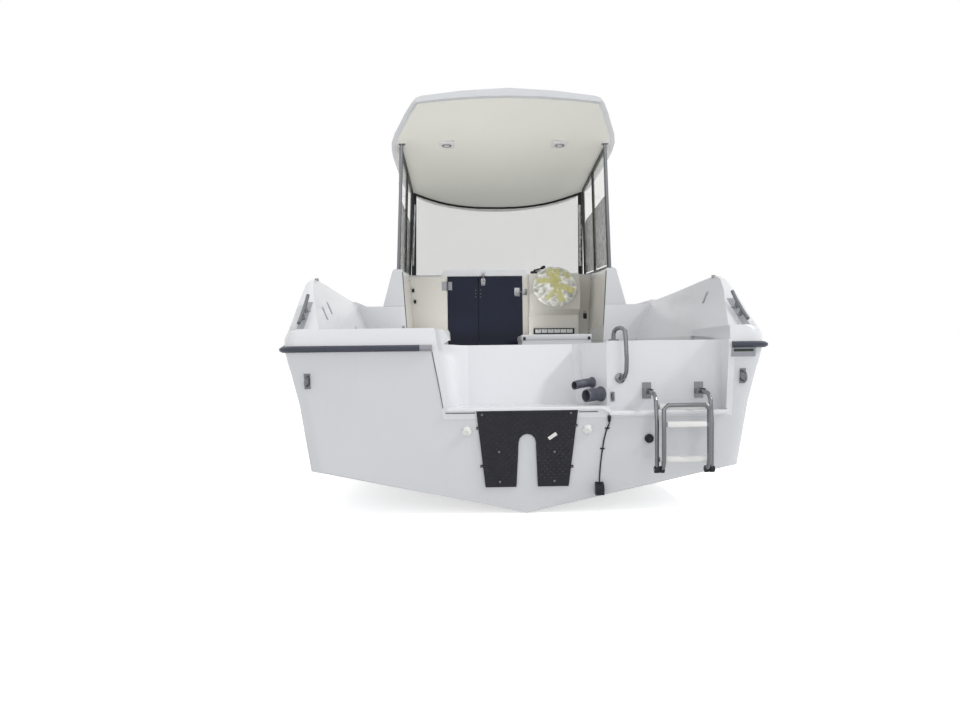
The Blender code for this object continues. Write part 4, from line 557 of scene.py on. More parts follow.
class Shape:
    """Gathers faces and makes them one piece."""

    def __init__(self) -> None:
        """Start with no faces."""
        self.grid = bmesh.new()

    def skin(self, rings: Sequence[Path], capped: bool = True, ringed: bool = True,
             looped: bool = False) -> None:
        """Skin rows of points.

        Args:
            rings: rows with the same number of points.
            capped: close the first and the last row with a face.
            ringed: each row closes on itself.
            looped: the last row joins the first.
        """
        rows = [[self.grid.verts.new(p) for p in ring] for ring in rings]
        pairs = list(zip(rows, rows[1:]))
        if looped:
            pairs.append((rows[-1], rows[0]))
        count = len(rows[0])
        for low, high in pairs:
            for i in range(count if ringed else count - 1):
                j = (i + 1) % count
                self.grid.faces.new((low[i], low[j], high[j], high[i]))
        if capped and not looped:
            self.grid.faces.new(rows[0])
            self.grid.faces.new(rows[-1])

    def lathe(self, form: Turning, centre: Vector, axis: Vector) -> None:
        """Revolve an outline.

        Args:
            form: the outline.
            centre: the point at no distance along it.
            axis: the axis's direction.
        """
        spin = UP.rotation_difference(axis).to_matrix()
        rings = []
        turns = [math.tau * k / form.sides for k in range(form.sides)]
        for along, radius in form.profile:
            rings.append([centre + spin @ Vector((radius * math.cos(t), radius * math.sin(t), along))
                          for t in turns])
        self.skin(rings)

    def bar(self, path: Path, radius: float | Sequence[float], sides: int = 10, looped: bool = False) -> None:
        """Sweep a round section along a path, carried without twisting.

        Args:
            path: the section's middles.
            radius: one radius, or one for each point.
            sides: facets round the section.
            looped: the path closes on itself.
        """
        points = [Vector(p) for p in path]
        last = len(points) - 1
        side = None
        rings = []
        for i, point in enumerate(points):
            before = points[(i - 1) % len(points)] if looped else points[max(i - 1, 0)]
            after = points[(i + 1) % len(points)] if looped else points[min(i + 1, last)]
            heading = (after - before).normalized()
            if side is None:
                side = (STARBOARD if abs(heading.x) < 0.9 else UP).cross(heading)
            side = (side - heading * side.dot(heading)).normalized()
            r = radius if isinstance(radius, float) else radius[i]
            rings.append(circle(point, side, heading.cross(side), r, sides))
        self.skin(rings, looped=looped)

    def slab(self, centre: Vector, block: Block, turn: Matrix | None = None) -> None:
        """Add a block.

        Args:
            centre: its middle.
            block: its sizes.
            turn: its rotation, or None.
        """
        part = bmesh.new()
        bmesh.ops.create_cube(part, size=1.0)
        bmesh.ops.scale(part, vec=Vector(block.size), verts=part.verts)
        bmesh.ops.bevel(part, geom=part.edges[:], offset=block.edge, segments=block.facets,
                        affect="EDGES", profile=0.5, clamp_overlap=True)
        place = Matrix.Translation(centre)
        if turn is not None:
            place = place @ turn.to_4x4()
        bmesh.ops.transform(part, matrix=place, verts=part.verts)
        mesh = bpy.data.meshes.new("part")
        part.to_mesh(mesh)
        part.free()
        self.grid.from_mesh(mesh)
        bpy.data.meshes.remove(mesh)

    def piece(self, name: str, finish: Finish, body: str = "boat", crease: float = 35.0) -> bpy.types.Object:
        """Make the piece, smooth it up to a crease angle and ride it on its body.

        Args:
            name: the piece's name.
            finish: its finish.
            body: the body that it rides on.
            crease: edges over this angle in degrees stay sharp.

        Returns:
            The piece.
        """
        bmesh.ops.recalc_face_normals(self.grid, faces=self.grid.faces)
        mesh = bpy.data.meshes.new(name)
        self.grid.to_mesh(mesh)
        self.grid.free()
        mesh.shade_smooth()
        mesh.set_sharp_from_angle(angle=math.radians(crease))
        return fit_out(mesh, name, finish, body)


def fit_out(mesh: bpy.types.Mesh, name: str, finish: Finish, body: str) -> bpy.types.Object:
    """Make a finished mesh a piece that rides on a body.

    Args:
        mesh: the mesh.
        name: the piece's name.
        finish: its finish.
        body: the body.

    Returns:
        The piece.
    """
    mesh.materials.clear()
    mesh.materials.append(finish.material())
    made = add_object(name, mesh)
    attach(made, body)
    LOG.info("%s made, on %s", name, body)
    return made


def rounded_path(points: Path, steps: int = 6) -> list[Vector]:
    """Run a smooth curve through points.

    Args:
        points: the points that the curve passes.
        steps: stretches between two points.

    Returns:
        The curve's points.
    """
    ends = [points[0] * 2 - points[1], *points, points[-1] * 2 - points[-2]]
    curve = []
    for a, b, c, d in zip(ends, ends[1:], ends[2:], ends[3:]):
        for k in range(steps):
            t = k / steps
            curve.append((b * 2 + (c - a) * t + (a * 2 - b * 5 + c * 4 - d) * t * t
                          + (b * 3 - a - c * 3 + d) * t ** 3) * 0.5)
    return [*curve, points[-1].copy()]


def axes_on(normal: Vector, up: Vector = UP) -> Matrix:
    """Give a rotation whose Z is the normal and whose Y lies nearest to up."""
    across = up.cross(normal).normalized()
    return Matrix((across, normal.cross(across), normal)).transposed()


class Head(Enum):
    """Forms of the small raised things that repeat: sides, top share, stretch along."""

    SCREW = (12, 0.62, 1.0)
    RIVET = (10, 0.45, 1.0)
    LOZENGE = (4, 0.55, 2.6)


@dataclass(frozen=True)
class Array:
    """Sets one small form on many points with a Geometry Nodes tree."""

    head: Head
    radius: float
    height: float
    sunk: float = 0.45

    def tree(self) -> bpy.types.NodeTree:
        """Build the tree, with its sizes as named inputs.

        Returns:
            The tree.
        """
        made = bpy.data.node_groups.new(f"array_{self.head.name.lower()}", "GeometryNodeTree")
        face = made.interface
        face.new_socket("Geometry", in_out="INPUT", socket_type="NodeSocketGeometry")
        for name, kind in (("Radius", "Float"), ("Height", "Float"), ("Top Share", "Float"),
                           ("Stretch", "Float"), ("Sides", "Int"), ("Finish", "Material")):
            face.new_socket(name, in_out="INPUT", socket_type=f"NodeSocket{kind}")
        face.new_socket("Geometry", in_out="OUTPUT", socket_type="NodeSocketGeometry")
        bench = Bench(made)
        given = bench.node("NodeGroupInput").outputs
        top = bench.node("ShaderNodeMath", {"operation": "MULTIPLY"},
                         {0: given["Radius"], 1: given["Top Share"]})
        head = bench.node("GeometryNodeMeshCone", None, {
            "Vertices": given["Sides"], "Radius Top": top, "Radius Bottom": given["Radius"],
            "Depth": given["Height"]})
        shape = bench.node("ShaderNodeCombineXYZ", None, {"X": given["Stretch"], "Y": 1.0, "Z": 1.0})
        drawn = bench.node("GeometryNodeTransform", None, {"Geometry": head, "Scale": shape})
        facing = bench.node("GeometryNodeInputNamedAttribute", {"data_type": "FLOAT_VECTOR"},
                            {"Name": "facing"})
        turn = bench.node("GeometryNodeInputNamedAttribute", {"data_type": "FLOAT"}, {"Name": "turn"})
        stand = bench.node("FunctionNodeAlignRotationToVector", {"axis": "Z"}, {"Vector": facing})
        about = bench.node("ShaderNodeCombineXYZ", None, {"Z": turn})
        swing = bench.node("FunctionNodeEulerToRotation", None, {0: about})
        whole = bench.node("FunctionNodeRotateRotation", {"rotation_space": "LOCAL"},
                           {0: stand, 1: swing})
        many = bench.node("GeometryNodeInstanceOnPoints", None, {
            "Points": given["Geometry"], "Instance": drawn, "Rotation": whole})
        real = bench.node("GeometryNodeRealizeInstances", None, {0: many})
        coated = bench.node("GeometryNodeSetMaterial", None, {"Geometry": real, "Material": given["Finish"]})
        bench.node("NodeGroupOutput", None, {0: coated})
        return made

    def lay(self, name: str, places: Iterable[Place], finish: Finish = SATIN, body: str = "boat",
            turns: Sequence[float] = ()) -> bpy.types.Object:
        """Set the form on each place and make the result one plain piece.

        Args:
            name: the piece's name.
            places: point and outward direction of each copy.
            finish: the copies' finish.
            body: the body that they ride on.
            turns: each copy's turn in radians, if they are turned.

        Returns:
            The piece.
        """
        places = list(places)
        points = bpy.data.meshes.new("places")
        points.from_pydata([p + n * self.height * self.sunk for p, n in places], [], [])
        facing = points.attributes.new("facing", "FLOAT_VECTOR", "POINT")
        facing.data.foreach_set("vector", [c for _, n in places for c in n])
        turn = points.attributes.new("turn", "FLOAT", "POINT")
        turn.data.foreach_set("value", turns or [0.0] * len(places))
        holder = add_object("holder", points)
        change = holder.modifiers.new("array", "NODES")
        change.node_group = self.tree()
        sides, share, stretch = self.head.value
        given = {"Radius": self.radius, "Height": self.height, "Top Share": share,
                 "Stretch": stretch, "Sides": sides, "Finish": finish.material()}
        for item in change.node_group.interface.items_tree:
            if item.in_out == "INPUT" and item.name in given:
                change[item.identifier] = given[item.name]
        graph = bpy.context.evaluated_depsgraph_get()
        mesh = bpy.data.meshes.new_from_object(holder.evaluated_get(graph))
        holder.modifiers.clear()
        bpy.data.objects.remove(holder)
        return fit_out(mesh, name, finish, body)


def blocks(name: str, finish: Finish, parts: Iterable[tuple[Vector, Block]], body: str = "boat",
           turn: Matrix | None = None) -> None:
    """Make one piece of blocks.

    Args:
        name: the piece's name.
        finish: its finish.
        parts: middle and sizes of each block.
        body: the body that it rides on.
        turn: the blocks' rotation, or None.
    """
    shape = Shape()
    for centre, block in parts:
        shape.slab(centre, block, turn)
    shape.piece(name, finish, body)


def turned(name: str, finish: Finish, form: Turning, feet: Iterable[Place], body: str = "boat") -> None:
    """Make one piece of equal turned forms.

    Args:
        name: the piece's name.
        finish: its finish.
        form: the outline of each.
        feet: foot and axis of each.
        body: the body that it rides on.
    """
    shape = Shape()
    for foot, out in feet:
        shape.lathe(form, foot, out)
    shape.piece(name, finish, body)


def middle_of(node: str) -> Vector:
    """Give the middle of a node's box."""
    low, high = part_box(node)
    return (low + high) / 2


@dataclass(frozen=True)
class Sight:
    """The photograph's viewpoint.

    Angles are in degrees, the focal length and the centre in pixels of the photograph. The
    clip distances and the sensor's width, in millimetres, are the camera's.
    """

    eye: Vector = Vector((-0.270, -6.327, 0.449))
    yaw: float = 1.92
    rise: float = 0.204
    roll: float = -0.709
    focal: float = 711.5
    centre: Pixel = (493.8, 357.6)
    frame: tuple[int, int] = (960, 720)
    sensor: float = 36.0
    clip: tuple[float, float] = (0.05, 200.0)

    def axes(self) -> tuple[Vector, Vector, Vector]:
        """Work out the view's axes.

        Returns:
            Its right, up and forward directions.
        """
        yaw, rise, roll = (math.radians(a) for a in (self.yaw, self.rise, self.roll))
        level = Vector((math.sin(yaw), math.cos(yaw), 0.0))
        right = Vector((math.cos(yaw), -math.sin(yaw), 0.0))
        forward = level * math.cos(rise) + UP * math.sin(rise)
        up = right.cross(forward)
        tilted = up * math.cos(roll) - right * math.sin(roll)
        return right * math.cos(roll) + up * math.sin(roll), tilted, forward

    def ray(self, pixel: Pixel) -> Vector:
        """Give the direction through a pixel of the photograph."""
        right, up, forward = self.axes()
        across, down = pixel[0] - self.centre[0], pixel[1] - self.centre[1]
        return (forward * self.focal + right * across - up * down).normalized()

    def camera(self) -> None:
        """Set up the scene's camera."""
        right, up, forward = self.axes()
        data = bpy.data.cameras.new("camera")
        made = add_object("camera", data)
        turn = Matrix((right, up, -forward)).transposed()
        made.matrix_world = Matrix.Translation(self.eye) @ turn.to_4x4()
        wide, tall = self.frame
        data.sensor_width = self.sensor
        data.lens = self.focal / wide * data.sensor_width
        data.shift_x = (wide / 2 - self.centre[0]) / wide
        data.shift_y = (self.centre[1] - tall / 2) / wide
        data.clip_start, data.clip_end = self.clip
        bpy.context.scene.camera = made


class Soundings:
    """Lands points on the surfaces of the frame's nodes."""

    over_all = 1.5

    def __init__(self, nodes: Mapping[str, bpy.types.Object], sight: Sight) -> None:
        """Keep the nodes; each search tree is made on first use."""
        self.nodes = nodes
        self.sight = sight
        self.trees: dict[str, BVHTree] = {}
        self.boxes: dict[str, tuple[Vector, Vector]] = {}

    def box(self, node: str) -> tuple[Vector, Vector]:
        """Give the low and the high corner of a node's box, measured once."""
        if node not in self.boxes:
            self.boxes[node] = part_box(node)
        return self.boxes[node]

    def tree(self, node: str) -> BVHTree:
        """Give a node's search tree."""
        if node not in self.trees:
            mesh = self.nodes[node].data
            points = [v.co.copy() for v in mesh.vertices]
            self.trees[node] = BVHTree.FromPolygons(points, [tuple(f.vertices) for f in mesh.polygons])
        return self.trees[node]

    def land(self, node: str, start: Vector, heading: Vector) -> Place | None:
        """Find where a ray meets a node.

        Args:
            node: the node's name.
            start: the ray's start.
            heading: its direction.

        Returns:
            The point and the surface's direction towards the ray, or None.
        """
        point, normal, _, _ = self.tree(node).ray_cast(start, heading)
        if point is None:
            return None
        return point, (normal if normal.dot(heading) < 0 else -normal)

    def seen(self, pixel: Pixel, *nodes: str) -> Place:
        """Find the nearest point of some nodes that shows at a pixel of the photograph.

        Args:
            pixel: the pixel.
            nodes: the nodes' names.

        Returns:
            The point and the surface's direction towards the eye.
        """
        hits = [self.land(node, self.sight.eye, self.sight.ray(pixel)) for node in nodes]
        if not any(hits):
            raise ValueError(f"nothing of {nodes} shows at {pixel}")
        return min(filter(None, hits), key=lambda hit: (hit[0] - self.sight.eye).length)

    def drop(self, node: str, spots: Iterable[tuple[float, float]]) -> list[Place]:
        """Land straight down on a node at each (x, y) that lies over it."""
        hits = [self.land(node, Vector((x, y, self.over_all)), -UP) for x, y in spots]
        return [hit for hit in hits if hit]


@dataclass(frozen=True)
class Casting:
    """How the frame's own nodes are dressed: finish, crease angle in degrees, merge distance."""

    finish: Finish
    crease: float = 32.0
    merge: float = 0.00002

    def tree(self) -> bpy.types.NodeTree:
        """Give the shared tree that shades a merged mesh smooth up to a crease.

        Returns:
            The tree, made on first use.
        """
        made = bpy.data.node_groups.get("shade_to_crease")
        if made is not None:
            return made
        made = bpy.data.node_groups.new("shade_to_crease", "GeometryNodeTree")
        made.interface.new_socket("Geometry", in_out="INPUT", socket_type="NodeSocketGeometry")
        made.interface.new_socket("Crease", in_out="INPUT", socket_type="NodeSocketFloat")
        made.interface.new_socket("Geometry", in_out="OUTPUT", socket_type="NodeSocketGeometry")
        bench = Bench(made)
        given = bench.node("NodeGroupInput").outputs
        angle = bench.node("GeometryNodeInputMeshEdgeAngle")
        sharp = bench.node("FunctionNodeCompare", {"data_type": "FLOAT", "operation": "GREATER_THAN"},
                           {0: angle, 1: given["Crease"]})
        smooth = bench.node("GeometryNodeSetShadeSmooth", {"domain": "FACE"},
                            {"Geometry": given["Geometry"]})
        creased = bench.node("GeometryNodeSetShadeSmooth", {"domain": "EDGE"}, {
            "Geometry": smooth, "Selection": sharp, "Shade Smooth": False})
        bench.node("NodeGroupOutput", None, {0: creased})
        return made

    def dress(self, node: bpy.types.Object) -> None:
        """Give a node its finish, merged points and smooth shading."""
        material = self.finish.material()
        if not node.material_slots:
            node.data.materials.append(material)
        for holder in node.material_slots:
            holder.material = material
        merge = node.modifiers.new("merge", "WELD")
        merge.merge_threshold = self.merge
        shade = node.modifiers.new("shade", "NODES")
        shade.node_group = self.tree()
        for item in shade.node_group.interface.items_tree:
            if item.in_out == "INPUT" and item.name == "Crease":
                shade[item.identifier] = math.radians(self.crease)


CASTINGS: dict[Casting, tuple[str, ...]] = {
    Casting(WHITE): ("hull", "cabin_trunk", "hardtop", "seat_box", "door_header"),
    Casting(DECK): ("deck", "anchor_locker_lid"),
    Casting(CREAM): ("bulkhead", "helm_console"),
    Casting(SOLE): ("cockpit_sole",),
    Casting(FENDER, crease=50.0): ("rub_rail",),
    Casting(CAP, crease=50.0): ("rub_rail_cap",),
    Casting(ACRYLIC): ("door_leaf_inner", "door_leaf_outer", "hatch_lid"),
    Casting(GLASS): ("side_pane_aft_port", "side_pane_aft_starboard", "side_pane_fore_port",
                     "side_pane_fore_starboard", "windscreen_glass"),
    Casting(FRAME): ("side_window_frame_port", "side_window_frame_starboard", "windscreen_frame"),
    Casting(STAINLESS): (
        "door_hinge", "grab_rail", "hatch_hinge_port", "hatch_hinge_starboard", "locker_hinge_port",
        "locker_hinge_starboard", "ladder_bracket_port", "ladder_bracket_starboard", "ladder_upper",
        "ladder_lower", "roof_post_port", "roof_post_starboard", "stern_cleat_port",
        "stern_cleat_starboard", "stern_eye_port", "stern_eye_starboard", "step_eye", "bow_eye",
        "bow_rail", "bow_roller", "downlight_port", "downlight_starboard"),
    Casting(PAD): ("engine_pad",),
    Casting(BLACK): ("helm_hub", "steering_wheel", "switch_panel", "throttle_control", "sole_scupper",
                     "transducer", "cable_gland"),
    Casting(RUBBER): ("transducer_cable",),
    Casting(HOSE): ("rigging_boot_1", "rigging_boot_2"),
    Casting(PLASTIC): ("well_drain_port", "well_drain_starboard", "hatch_frame"),
}


@dataclass
class Studio:
    """Floor, world and lamps. The floor lies at the foot of the keel."""

    floor_half: float = 60.0
    floor_drop: float = 0.002
    floor_tone: float = 0.85
    floor_glow: float = 0.62
    floor_roughness: float = 0.9
    ambient: float = 0.76
    sun: tuple[float, float, Vector] = (1.05, 7.0, Vector((0.60, -0.25, 0.62)))
    fill: tuple[float, float, Vector] = (0.40, 60.0, Vector((-0.10, -1.0, 0.16)))
    cabin_power: float = 6.5
    cabin_size: tuple[float, float] = (0.90, 1.60)
    cabin_place: Vector = afloat(-0.20, 1.75, 0.95)

    def floor(self) -> None:
        """Lay the floor, pure white to the camera where no shadow falls."""
        half, level = self.floor_half, KEEL_Z - self.floor_drop
        mesh = bpy.data.meshes.new("floor")
        corners = [(x * half, y * half, level) for x, y in ((-1, -1), (1, -1), (1, 1), (-1, 1))]
        mesh.from_pydata(corners, [], [(0, 1, 2, 3)])
        material = bpy.data.materials.new("floor_paint")
        material.use_nodes = True
        bench = Bench(material.node_tree)
        seen = bench.signal("ShaderNodeLightPath", output="Is Camera Ray")
        shader = bench.node("ShaderNodeBsdfPrincipled", None, {
            "Base Color": (self.floor_tone,) * 3, "Roughness": self.floor_roughness,
            "Emission Color": (1, 1, 1), "Emission Strength": seen * self.floor_glow})
        bench.node("ShaderNodeOutputMaterial", None, {"Surface": shader})
        mesh.materials.append(material)
        add_object("floor", mesh)

    def sky(self) -> None:
        """Make a soft even world that shows white behind the boat and in its gloss."""
        world = bpy.data.worlds.new("world")
        bpy.context.scene.world = world
        world.use_nodes = True
        bench = Bench(world.node_tree)
        path = bench.node("ShaderNodeLightPath").outputs
        clear = Signal(bench, path["Is Camera Ray"])
        for kind in ("Is Transmission Ray", "Is Glossy Ray"):
            clear = clear.math("MAXIMUM", clear, Signal(bench, path[kind]))
        back = bench.node("ShaderNodeBackground", None, {
            "Color": (1.0, 1.0, 1.0), "Strength": clear * (1.0 - self.ambient) + self.ambient})
        bench.node("ShaderNodeOutputWorld", None, {"Surface": back})

    def lamps(self) -> None:
        """Hang a sun high on the starboard quarter and a broad soft fill low astern."""
        for name, (strength, width, source) in (("sun", self.sun), ("fill", self.fill)):
            data = bpy.data.lights.new(name, "SUN")
            data.energy = strength
            data.angle = math.radians(width)
            made = add_object(name, data)
            made.rotation_mode = "QUATERNION"
            made.rotation_quaternion = source.to_track_quat("Z", "Y")

    def cabin_light(self) -> None:
        """Lay a soft panel over the sole that shines up under the roof, as the sunlit deck does."""
        data = bpy.data.lights.new("cabin", "AREA")
        data.shape = "RECTANGLE"
        data.size, data.size_y = self.cabin_size
        data.energy = self.cabin_power
        made = add_object("cabin", data)
        made.location = self.cabin_place
        made.rotation_euler = (math.pi, 0.0, 0.0)
        made.visible_glossy = False

    def build(self) -> None:
        """Make the stage and set the view."""
        self.floor()
        self.sky()
        self.lamps()
        self.cabin_light()
        bpy.context.scene.view_settings.view_transform = "Standard"


@dataclass
class Transom:
    """Engine pad's raised pattern, screws and label, drain plugs, scupper flap and cable clips."""

    soundings: Soundings
    reach: float = 0.1
    pad_middle: Pixel = (527.0, 420.0)
    stud: Array = Array(Head.LOZENGE, 0.0026, 0.0012)
    stud_pitch: float = 0.0145
    stud_rows: range = range(-20, 12)
    stud_columns: range = range(-18, 19)
    stud_margin: float = 0.010
    stud_lean: float = 45.0
    pad_slack: float = 0.004
    pad_screws: tuple[Pixel, ...] = (
        (482, 415), (571, 413), (499, 452), (554.5, 452), (500, 482), (554.5, 481))
    pad_tabs: tuple[Pixel, ...] = ((478, 428), (575.7, 425), (482.0, 466), (571.5, 466))
    pad_head: Array = Array(Head.SCREW, 0.0065, 0.0030)
    tab: Block = Block((0.016, 0.012, 0.010), 0.002)
    tab_rise: float = 0.0052
    tab_head: Array = Array(Head.SCREW, 0.0035, 0.0016)
    label_middle: Pixel = (552.5, 436.0)
    label_block: Block = Block((0.046, 0.017, 0.0006), 0.0002, 1)
    label_rise: float = 0.0018
    label_lean: float = 35.0
    plug: Turning = Turning(((0.0003, 0.0115), (0.0060, 0.0115), (0.0075, 0.0100), (0.0075, 0.0070),
                             (0.0045, 0.0062), (0.0045, 0.0)), 28)
    plug_grip: Block = Block((0.0026, 0.0125, 0.0030), 0.0006)
    plug_grip_rise: float = 0.0060
    plug_head: Array = Array(Head.SCREW, 0.0022, 0.0010)
    plug_screws: int = 3
    plug_screw_ring: float = 0.0205
    plug_screw_turn: float = 0.5
    flap: Block = Block((0.022, 0.024, 0.0022), 0.0008)
    flap_rise: float = 0.0016
    flap_drop: float = 0.002
    ring: float = 0.0165
    ring_rise: float = 0.0008
    ring_wire: float = 0.0018
    clip_heights: tuple[float, ...] = (0.315, 0.415)
    clip_scan: tuple[float, float, int] = (0.28, 0.002, 90)
    clip_arch: Profile = ((-0.0120, 0.0008), (-0.0060, 0.0012), (-0.0048, 0.0055), (0.0, 0.0092),
                          (0.0048, 0.0055), (0.0060, 0.0012), (0.0120, 0.0008))
    clip_half: float = 0.0035
    clip_wall: float = 0.0012
    clip_screw: tuple[float, float] = (0.0095, 0.0018)
    clip_head: Array = Array(Head.SCREW, 0.0020, 0.0010)

    def onto(self, node: str, spot: Vector) -> Place | None:
        """Land on a node from astern, over a spot."""
        return self.soundings.land(node, spot + TRANSOM_OUT * self.reach, -TRANSOM_OUT)

    def studs(self) -> None:
        """Lay crossed lozenges over the pad, clear of its edges."""
        centre, out = self.soundings.seen(self.pad_middle, "engine_pad")
        sides = (STARBOARD, -STARBOARD, TRANSOM_UP, -TRANSOM_UP)
        places, turns = [], []
        for row in self.stud_rows:
            for column in self.stud_columns:
                spot = centre + STARBOARD * column * self.stud_pitch + TRANSOM_UP * row * self.stud_pitch
                if all(self.on_pad(spot + side * self.stud_margin, out) for side in sides):
                    places.append((spot, out))
                    turns.append(math.radians(self.stud_lean if (row + column) % 2 else -self.stud_lean))
        self.stud.lay("pad_studs", places, PAD, turns=turns)

    def on_pad(self, spot: Vector, out: Vector) -> bool:
        """Say whether a spot lies on the pad's face."""
        found = self.soundings.land("engine_pad", spot + out * self.reach, -out)
        return found is not None and (found[0] - spot).length < self.pad_slack

    def screws(self) -> None:
        """Screw the pad down where the photograph shows it, and clamp its edges with tabs."""
        heads = [self.soundings.seen(pixel, "engine_pad") for pixel in self.pad_screws]
        self.pad_head.lay("pad_screws", heads)
        tabs = Shape()
        heads = []
        for pixel in self.pad_tabs:
            spot, out = self.soundings.seen(pixel, "hull")
            tabs.slab(spot + out * self.tab_rise, self.tab, axes_on(out))
            heads.append((spot + out * (self.tab_rise + self.tab.size[2] / 2), out))
        tabs.piece("pad_tabs", BLACK)
        self.tab_head.lay("pad_tab_screws", heads)

    def label(self) -> None:
        """Stick the blank label on the pad."""
        spot, out = self.soundings.seen(self.label_middle, "engine_pad")
        turn = axes_on(out) @ Matrix.Rotation(math.radians(self.label_lean), 3, "Z")
        blocks("pad_label", LABEL, [(spot + out * self.label_rise, self.label_block)], turn=turn)

    def drains(self) -> None:
        """Fit a plug with a grip in each drain flange, and screw the flange down."""
        for side, _ in SIDES:
            node = f"well_drain_{side}"
            middle = middle_of(node)
            root, out = self.onto(node, middle)
            plug = Shape()
            plug.lathe(self.plug, root, out)
            plug.slab(root + out * self.plug_grip_rise, self.plug_grip, axes_on(out))
            plug.piece(f"drain_plug_{side}", PLASTIC)
            feet = circle(middle, STARBOARD, TRANSOM_UP, self.plug_screw_ring, self.plug_screws,
                          self.plug_screw_turn)
            self.plug_head.lay(f"drain_screws_{side}", [self.onto(node, foot) for foot in feet])

    def scupper(self) -> None:
        """Add the scupper's ring and flap."""
        root, out = self.onto("sole_scupper", middle_of("sole_scupper"))
        ring = Shape()
        path = circle(root + out * self.ring_rise, STARBOARD, TRANSOM_UP, self.ring, 28)
        ring.bar(path, self.ring_wire, 8, looped=True)
        ring.slab(root + out * self.flap_rise - TRANSOM_UP * self.flap_drop, self.flap, axes_on(out))
        ring.piece("scupper_flap", RUBBER)

    def clips(self) -> None:
        """Hold the transducer's cable with saddle clips, each where the cable lies at its height."""
        first, step, count = self.clip_scan
        clips = Shape()
        heads = []
        for z in self.clip_heights:
            across = [x for x in (first + step * k for k in range(count))
                      if self.onto("transducer_cable", on_transom(x, z))]
            foot = on_transom(sum(across) / len(across), z)
            arch = [foot + STARBOARD * a + TRANSOM_OUT * h for a, h in self.clip_arch]
            edges = [[p + TRANSOM_UP * rise for p in arch] for rise in (-self.clip_half, self.clip_half)]
            for i in range(len(arch) - 1):
                quad = [edges[0][i], edges[0][i + 1], edges[1][i + 1], edges[1][i]]
                clips.skin([quad, [p + TRANSOM_OUT * self.clip_wall for p in quad]])
            apart, rise = self.clip_screw
            heads += [(foot + STARBOARD * a + TRANSOM_OUT * rise, TRANSOM_OUT) for a in (-apart, apart)]
        clips.piece("cable_clips", BLACK)
        self.clip_head.lay("cable_clip_screws", heads)

    def build(self) -> None:
        """Dress the transom."""
        self.studs()
        self.screws()
        self.label()
        self.drains()
        self.scupper()
        self.clips()


@dataclass
class HardtopTrim:
    """The headliner below the hardtop, the lamps' housings and the posts' plates."""

    soundings: Soundings
    inset: float = 0.035
    gap: float = 0.0004
    drop: float = 0.003
    rows: int = 44
    columns: int = 36
    probe: float = 0.004
    start_below: float = 0.5
    lamp_drop: float = 0.0020
    lamp_base: Block = Block((0.118, 0.150, 0.011), 0.004, 3)
    bezel: Turning = Turning(((0.0, 0.0360), (0.0055, 0.0350), (0.0080, 0.0320), (0.0080, 0.0290),
                              (0.0050, 0.0270), (0.0, 0.0268)), 40)
    lens: Turning = Turning(((-0.0002, 0.0270), (0.0040, 0.0255), (0.0060, 0.0160), (0.0064, 0.0)), 32)
    post_head: tuple[float, float] = (0.752, 1.880)
    post_plate: Block = Block((0.056, 0.066, 0.012), 0.004, 3)
    plate_drop: float = 0.003
    plate_screws: Size = (0.020, 0.025, 0.009)
    plate_head: Array = Array(Head.SCREW, 0.0030, 0.0014)

    def under(self, x: float, y: float) -> Place | None:
        """Land on the roof's underside."""
        low, _ = self.soundings.box("hardtop")
        return self.soundings.land("hardtop", Vector((x, y, low.z - self.start_below)), UP)

    def half_width(self, y: float) -> float:
        """Find how far the panel reaches to each side at a station."""
        reach = 0.0
        while self.under(reach + self.probe, y):
            reach += self.probe
        return reach - self.inset

    def headliner(self) -> None:
        """Lay a thin panel under the roof, following its underside."""
        low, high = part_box("hardtop")
        rings = []
        for i in range(self.rows + 1):
            y = low.y + self.inset + (high.y - low.y - 2 * self.inset) * i / self.rows
            half = self.half_width(y)
            roof = [self.under(half * (2 * j / self.columns - 1), y)[0] for j in range(self.columns + 1)]
            rings.append([p - UP * self.gap for p in roof] + [p - UP * self.drop for p in roof[::-1]])
        panel = Shape()
        panel.skin(rings)
        panel.piece("headliner", HEADLINER)

    def lamps(self) -> None:
        """Set a white base, a bright bezel and a frosted lens round each downlight."""
        for side, _ in SIDES:
            low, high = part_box(f"downlight_{side}")
            foot = Vector(((low.x + high.x) / 2, (low.y + high.y) / 2, low.z - self.lamp_drop))
            middle = foot + UP * self.lamp_base.size[2] / 2
            blocks(f"lamp_base_{side}", PLASTIC, [(middle, self.lamp_base)])
            turned(f"lamp_bezel_{side}", CHROME, self.bezel, [(foot, -UP)])
            turned(f"lamp_lens_{side}", LENS, self.lens, [(foot, -UP)])

    def post_plates(self) -> None:
        """Cover each post's head with a white plate under the roof."""
        x, y = self.post_head
        wide, deep, drop = self.plate_screws
        for side, hand in SIDES:
            _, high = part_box(f"roof_post_{side}")
            head = Vector((hand * x, y + STERN_Y, high.z))
            blocks(f"post_plate_{side}", PLASTIC, [(head - UP * self.plate_drop, self.post_plate)])
            heads = [(head + Vector((dx, dy, -drop)), -UP) for dx in (-wide, wide) for dy in (-deep, deep)]
            self.plate_head.lay(f"post_plate_screws_{side}", heads)

    def build(self) -> None:
        """Dress the hardtop."""
        self.headliner()
        self.lamps()
        self.post_plates()


